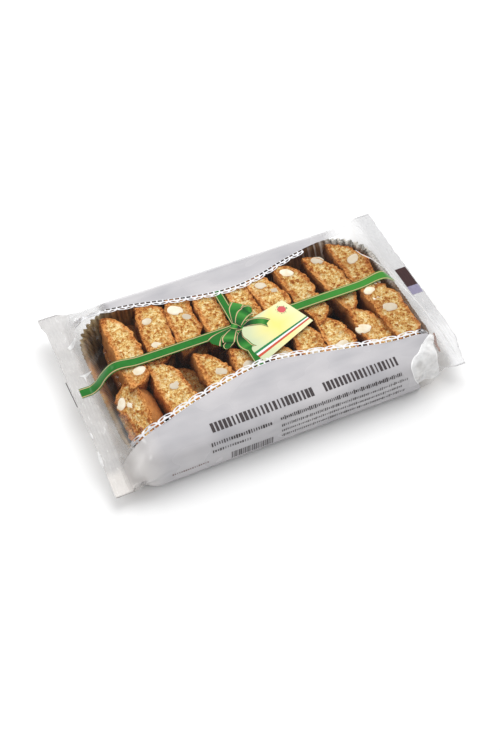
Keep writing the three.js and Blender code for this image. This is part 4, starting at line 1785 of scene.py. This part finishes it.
# height, the shortest bar's share of it, and pitch
TITLE, SMALL, DATE, BAR_CODE = (6.6, 0.95, 2.9), (2.9, 0.45, 1.35), (2.8, 0.6, 1.7), (7, 0.98, 1.3)
SMALL_PRINT = (-71.5, 75), (-77, 79), (-82.5, 74), (-88, 77)  # s and right end of each line
dark_ink = dark_finish()
bar_row("title_left", -59.5, 14, TITLE_S, *TITLE, 3, dark_ink)
bar_row("title_right", 20, 76, TITLE_S, *TITLE, 5, dark_ink)
for line, (s, end) in enumerate(SMALL_PRINT):
    bar_row(f"small_print_{line + 1}", -14.5, end, s, *SMALL, 20 + line, dark_ink)
bar_row("date_1", -63, -20, -72.3, *DATE, 31, dark_ink)
bar_row("date_2", -63, -36, -78, *DATE, 32, dark_ink)
bar_row("bar_code", -50, -19.5, -89, *BAR_CODE, 41, dark_ink)
print("title, small print, date and bar code:", len(pieces), "pieces so far")

# %% Register marks on the seals
MARK_LIFT, MARK_WIDTH = 0.12, 8.6
mark_right = strip([(124, 19), (124, -0.8)], (MARK_WIDTH,))
mark_tail = strip([(124, -0.8), (124, -9.6)], (MARK_WIDTH,))
mark_left = strip([(-130, 18.4), (-129.4, -6)], (0.6,))


def plain_ink(name, first, second):
    finish = Finish(name, IOR=1.5, Coat_Weight=0.4)
    streak = finish.noise(1.2, 2, 0.6, (1, 0.3, 1))
    finish.feed(Base_Color=finish.mix(streak, first, second), Roughness=0.3 + streak * 0.2)
    finish.bump(streak, 0.04, 0.3)
    return finish


line_ink = plain_ink("brown_print", (0.1, 0.05, 0.05), (0.2, 0.12, 0.1))
bar_row("lower_line", -91, -65, -87, 1.8, 0.5, 1.5, 51, line_ink)
brown_ink = plain_ink("mark_brown", (0.02, 0.006, 0.008), (0.055, 0.016, 0.016))
lilac_ink = plain_ink("mark_lilac", (0.2, 0.18, 0.28), (0.32, 0.3, 0.42))
printed("mark_dark", [mark_right], MARK_LIFT, "colour_print", brown_ink)
printed("mark_pale", [mark_tail], MARK_LIFT, "colour_print", lilac_ink)
printed("mark_line", [mark_left], MARK_LIFT, "colour_print", dark_ink)

# %% [markdown]
# ## Creases and painted glints
#
# Where film is folded on itself it turns white along the fold. Each crease is a slender strip that
# narrows to both ends, in a white finish that lets a little of what is below show. Some strips are
# painted highlights instead: kite-shaped flashes on the left shoulder and glints on the left seal,
# where folds catch the light. At the right front corner the film is folded into a pocket that bulges,
# so it is a net between two edges, lifted most in its middle. Its left edge is a white line, partly
# doubled film and partly a painted highlight. Beside it a slit between the folds lets the tray's foil
# show, as a narrow coppery strip.

# %% Creases and painted glints in the film
CREASE_LIFT = 0.1
CREASES_AND_GLINTS = [
    # knots and widths of each crease
    ([(94.1, 35.7), (97.2, 26.7), (102.7, 19), (110.1, 16.7), (116.6, 4.6)], (0.3, 1.1, 1, 1.3, 0.6)),
    ([(116.6, 4.6), (119.5, -18.5), (120, -33.7), (119.8, -43.2)], (0.6, 1.2, 1, 0.3)),
    ([(121.1, -38.3), (122.1, -49.7), (121.2, -72)], (0.3, 1.2, 0.6)),
    # these three are painted highlights: kite-shaped flashes where folds on the left shoulder catch the light
    ([(-111.2, 16.9), (-115.5, 18), (-119.8, 20.1)], (0.3, 3, 0.4)),
    ([(-116.6, 18.4), (-117.2, 12.6)], (1.8, 0.3)),
    ([(-112, 49.3), (-115.5, 48.2), (-119.2, 46.9)], (2.2, 4, 3)),
    # these two are painted glints on the left seal's outer edge
    ([(-128.4, -31), (-128.4, -36)], (0.6, 1.4, 0.8)),
    ([(-128.7, -46), (-128.8, -51), (-128.8, -57)], (0.8, 2, 1)),
]


def milky_finish(name, cover, streak_cover, dim=0.71, pale=0.9):
    """White film between two greys, that covers at least so much of what lies behind it."""
    finish = Finish(name, Roughness=0.2, IOR=1.5)
    streak = finish.noise(6, 2)
    finish.feed(Base_Color=finish.mix(streak, (dim, dim, dim), (pale, pale, pale)))
    finish.see_through(streak.span(0.2, 0.7) * streak_cover + cover)
    finish.bump(streak, 0.1, 0.3)
    return finish


crease_and_glint_parts = [strip(*crease) for crease in CREASES_AND_GLINTS]
creases = printed("creases", crease_and_glint_parts, CREASE_LIFT, "clear_film", milky_finish("creased_film", 0.45, 0.4))
print("creases:", len(creases.data.polygons), "faces")

# %% The pocket at the right front corner
POCKET_LEFT = [(110, -50), (98.6, -56.3), (91.3, -62.6), (86.5, -64.4), (83.2, -67.8), (82.2, -71.6)]
POCKET_LEFT += [(84.4, -80.6), (88, -88)]
POCKET_RIGHT = [(114, -50), (106, -60), (102.9, -67.9), (104, -76), (106, -86), (108, -93)]
POCKET_LIFT, POCKET_BULGE, EDGE_LIFT = 0.25, 2.4, 0.3
GLIMPSE_PATH = [(115.2, -49.5), (110, -56), (108.2, -62), (105, -67.5)]
GLIMPSE_LIFT, GLIMPSE_WIDTHS = 0.9, (0.8, 3.4, 4.6, 4.2, 1.2)
pocket_edge = strip(POCKET_LEFT, (0.4, 1.1, 1.3, 1.1, 0.4))


def make_pocket():
    flat, faces, uv, _ = between(POCKET_LEFT, POCKET_RIGHT, (0, 0))
    u, v = uv.T
    lift = POCKET_LIFT + POCKET_BULGE * np.sin(np.pi * u) * np.sin(np.pi * v) ** 0.7
    thing = piece("pocket", film_at(flat[:, 0], flat[:, 1], lift), faces, "clear_film", pocket_film, uv=uv)
    face_up(thing)
    return thing


def glimpse_finish():
    finish = Finish("foil_behind_film", Roughness=0.35)
    smear = finish.noise(3, 3, 0.7)
    finish.feed(Base_Color=finish.mix(smear, (0.06, 0.02, 0.012), (0.36, 0.19, 0.13)))
    return finish


pocket_film = milky_finish("pocket_film", 0.5, 0.35, 0.85, 0.96)
pocket = make_pocket()
# the pocket's edge: a white line of doubled film, partly a painted highlight
folded_film = milky_finish("folded_film", 0.75, 0.25, 0.93, 0.99)
printed("pocket_edge", [pocket_edge], EDGE_LIFT, "clear_film", folded_film)
glimpse = strip(GLIMPSE_PATH, GLIMPSE_WIDTHS)
printed("tray_glimpse", [glimpse], GLIMPSE_LIFT, "tray_foil", glimpse_finish())
print("pocket:", len(pocket.data.polygons), "faces")

# %% [markdown]
# ## The table, and the hand-over
#
# The pack lies on a wide white floor, which belongs to the stage and not to the part. Nothing of the pack
# moves, so every piece rides on the root.

# %% Floor
FLOOR_SIZE, FLOOR_DROP = 6000, 0.15


def floor_finish():
    finish = Finish("white_table", Roughness=0.9)
    tone = finish.mix(finish.noise(60, 2), (0.88, 0.88, 0.88), (0.9, 0.9, 0.9))
    finish.feed(Base_Color=tone)
    return finish


def make_floor():
    half = FLOOR_SIZE / 2
    corners = [(x * half, y * half, -FLOOR_DROP) for x, y in ((-1, -1), (1, -1), (1, 1), (-1, 1))]
    floor = piece("floor", corners, [(0, 1, 2, 3)], None, floor_finish())
    pieces.pop()


make_floor()

# %% Hand the pieces to the frame
for thing, slot in pieces:
    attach(thing, "root")
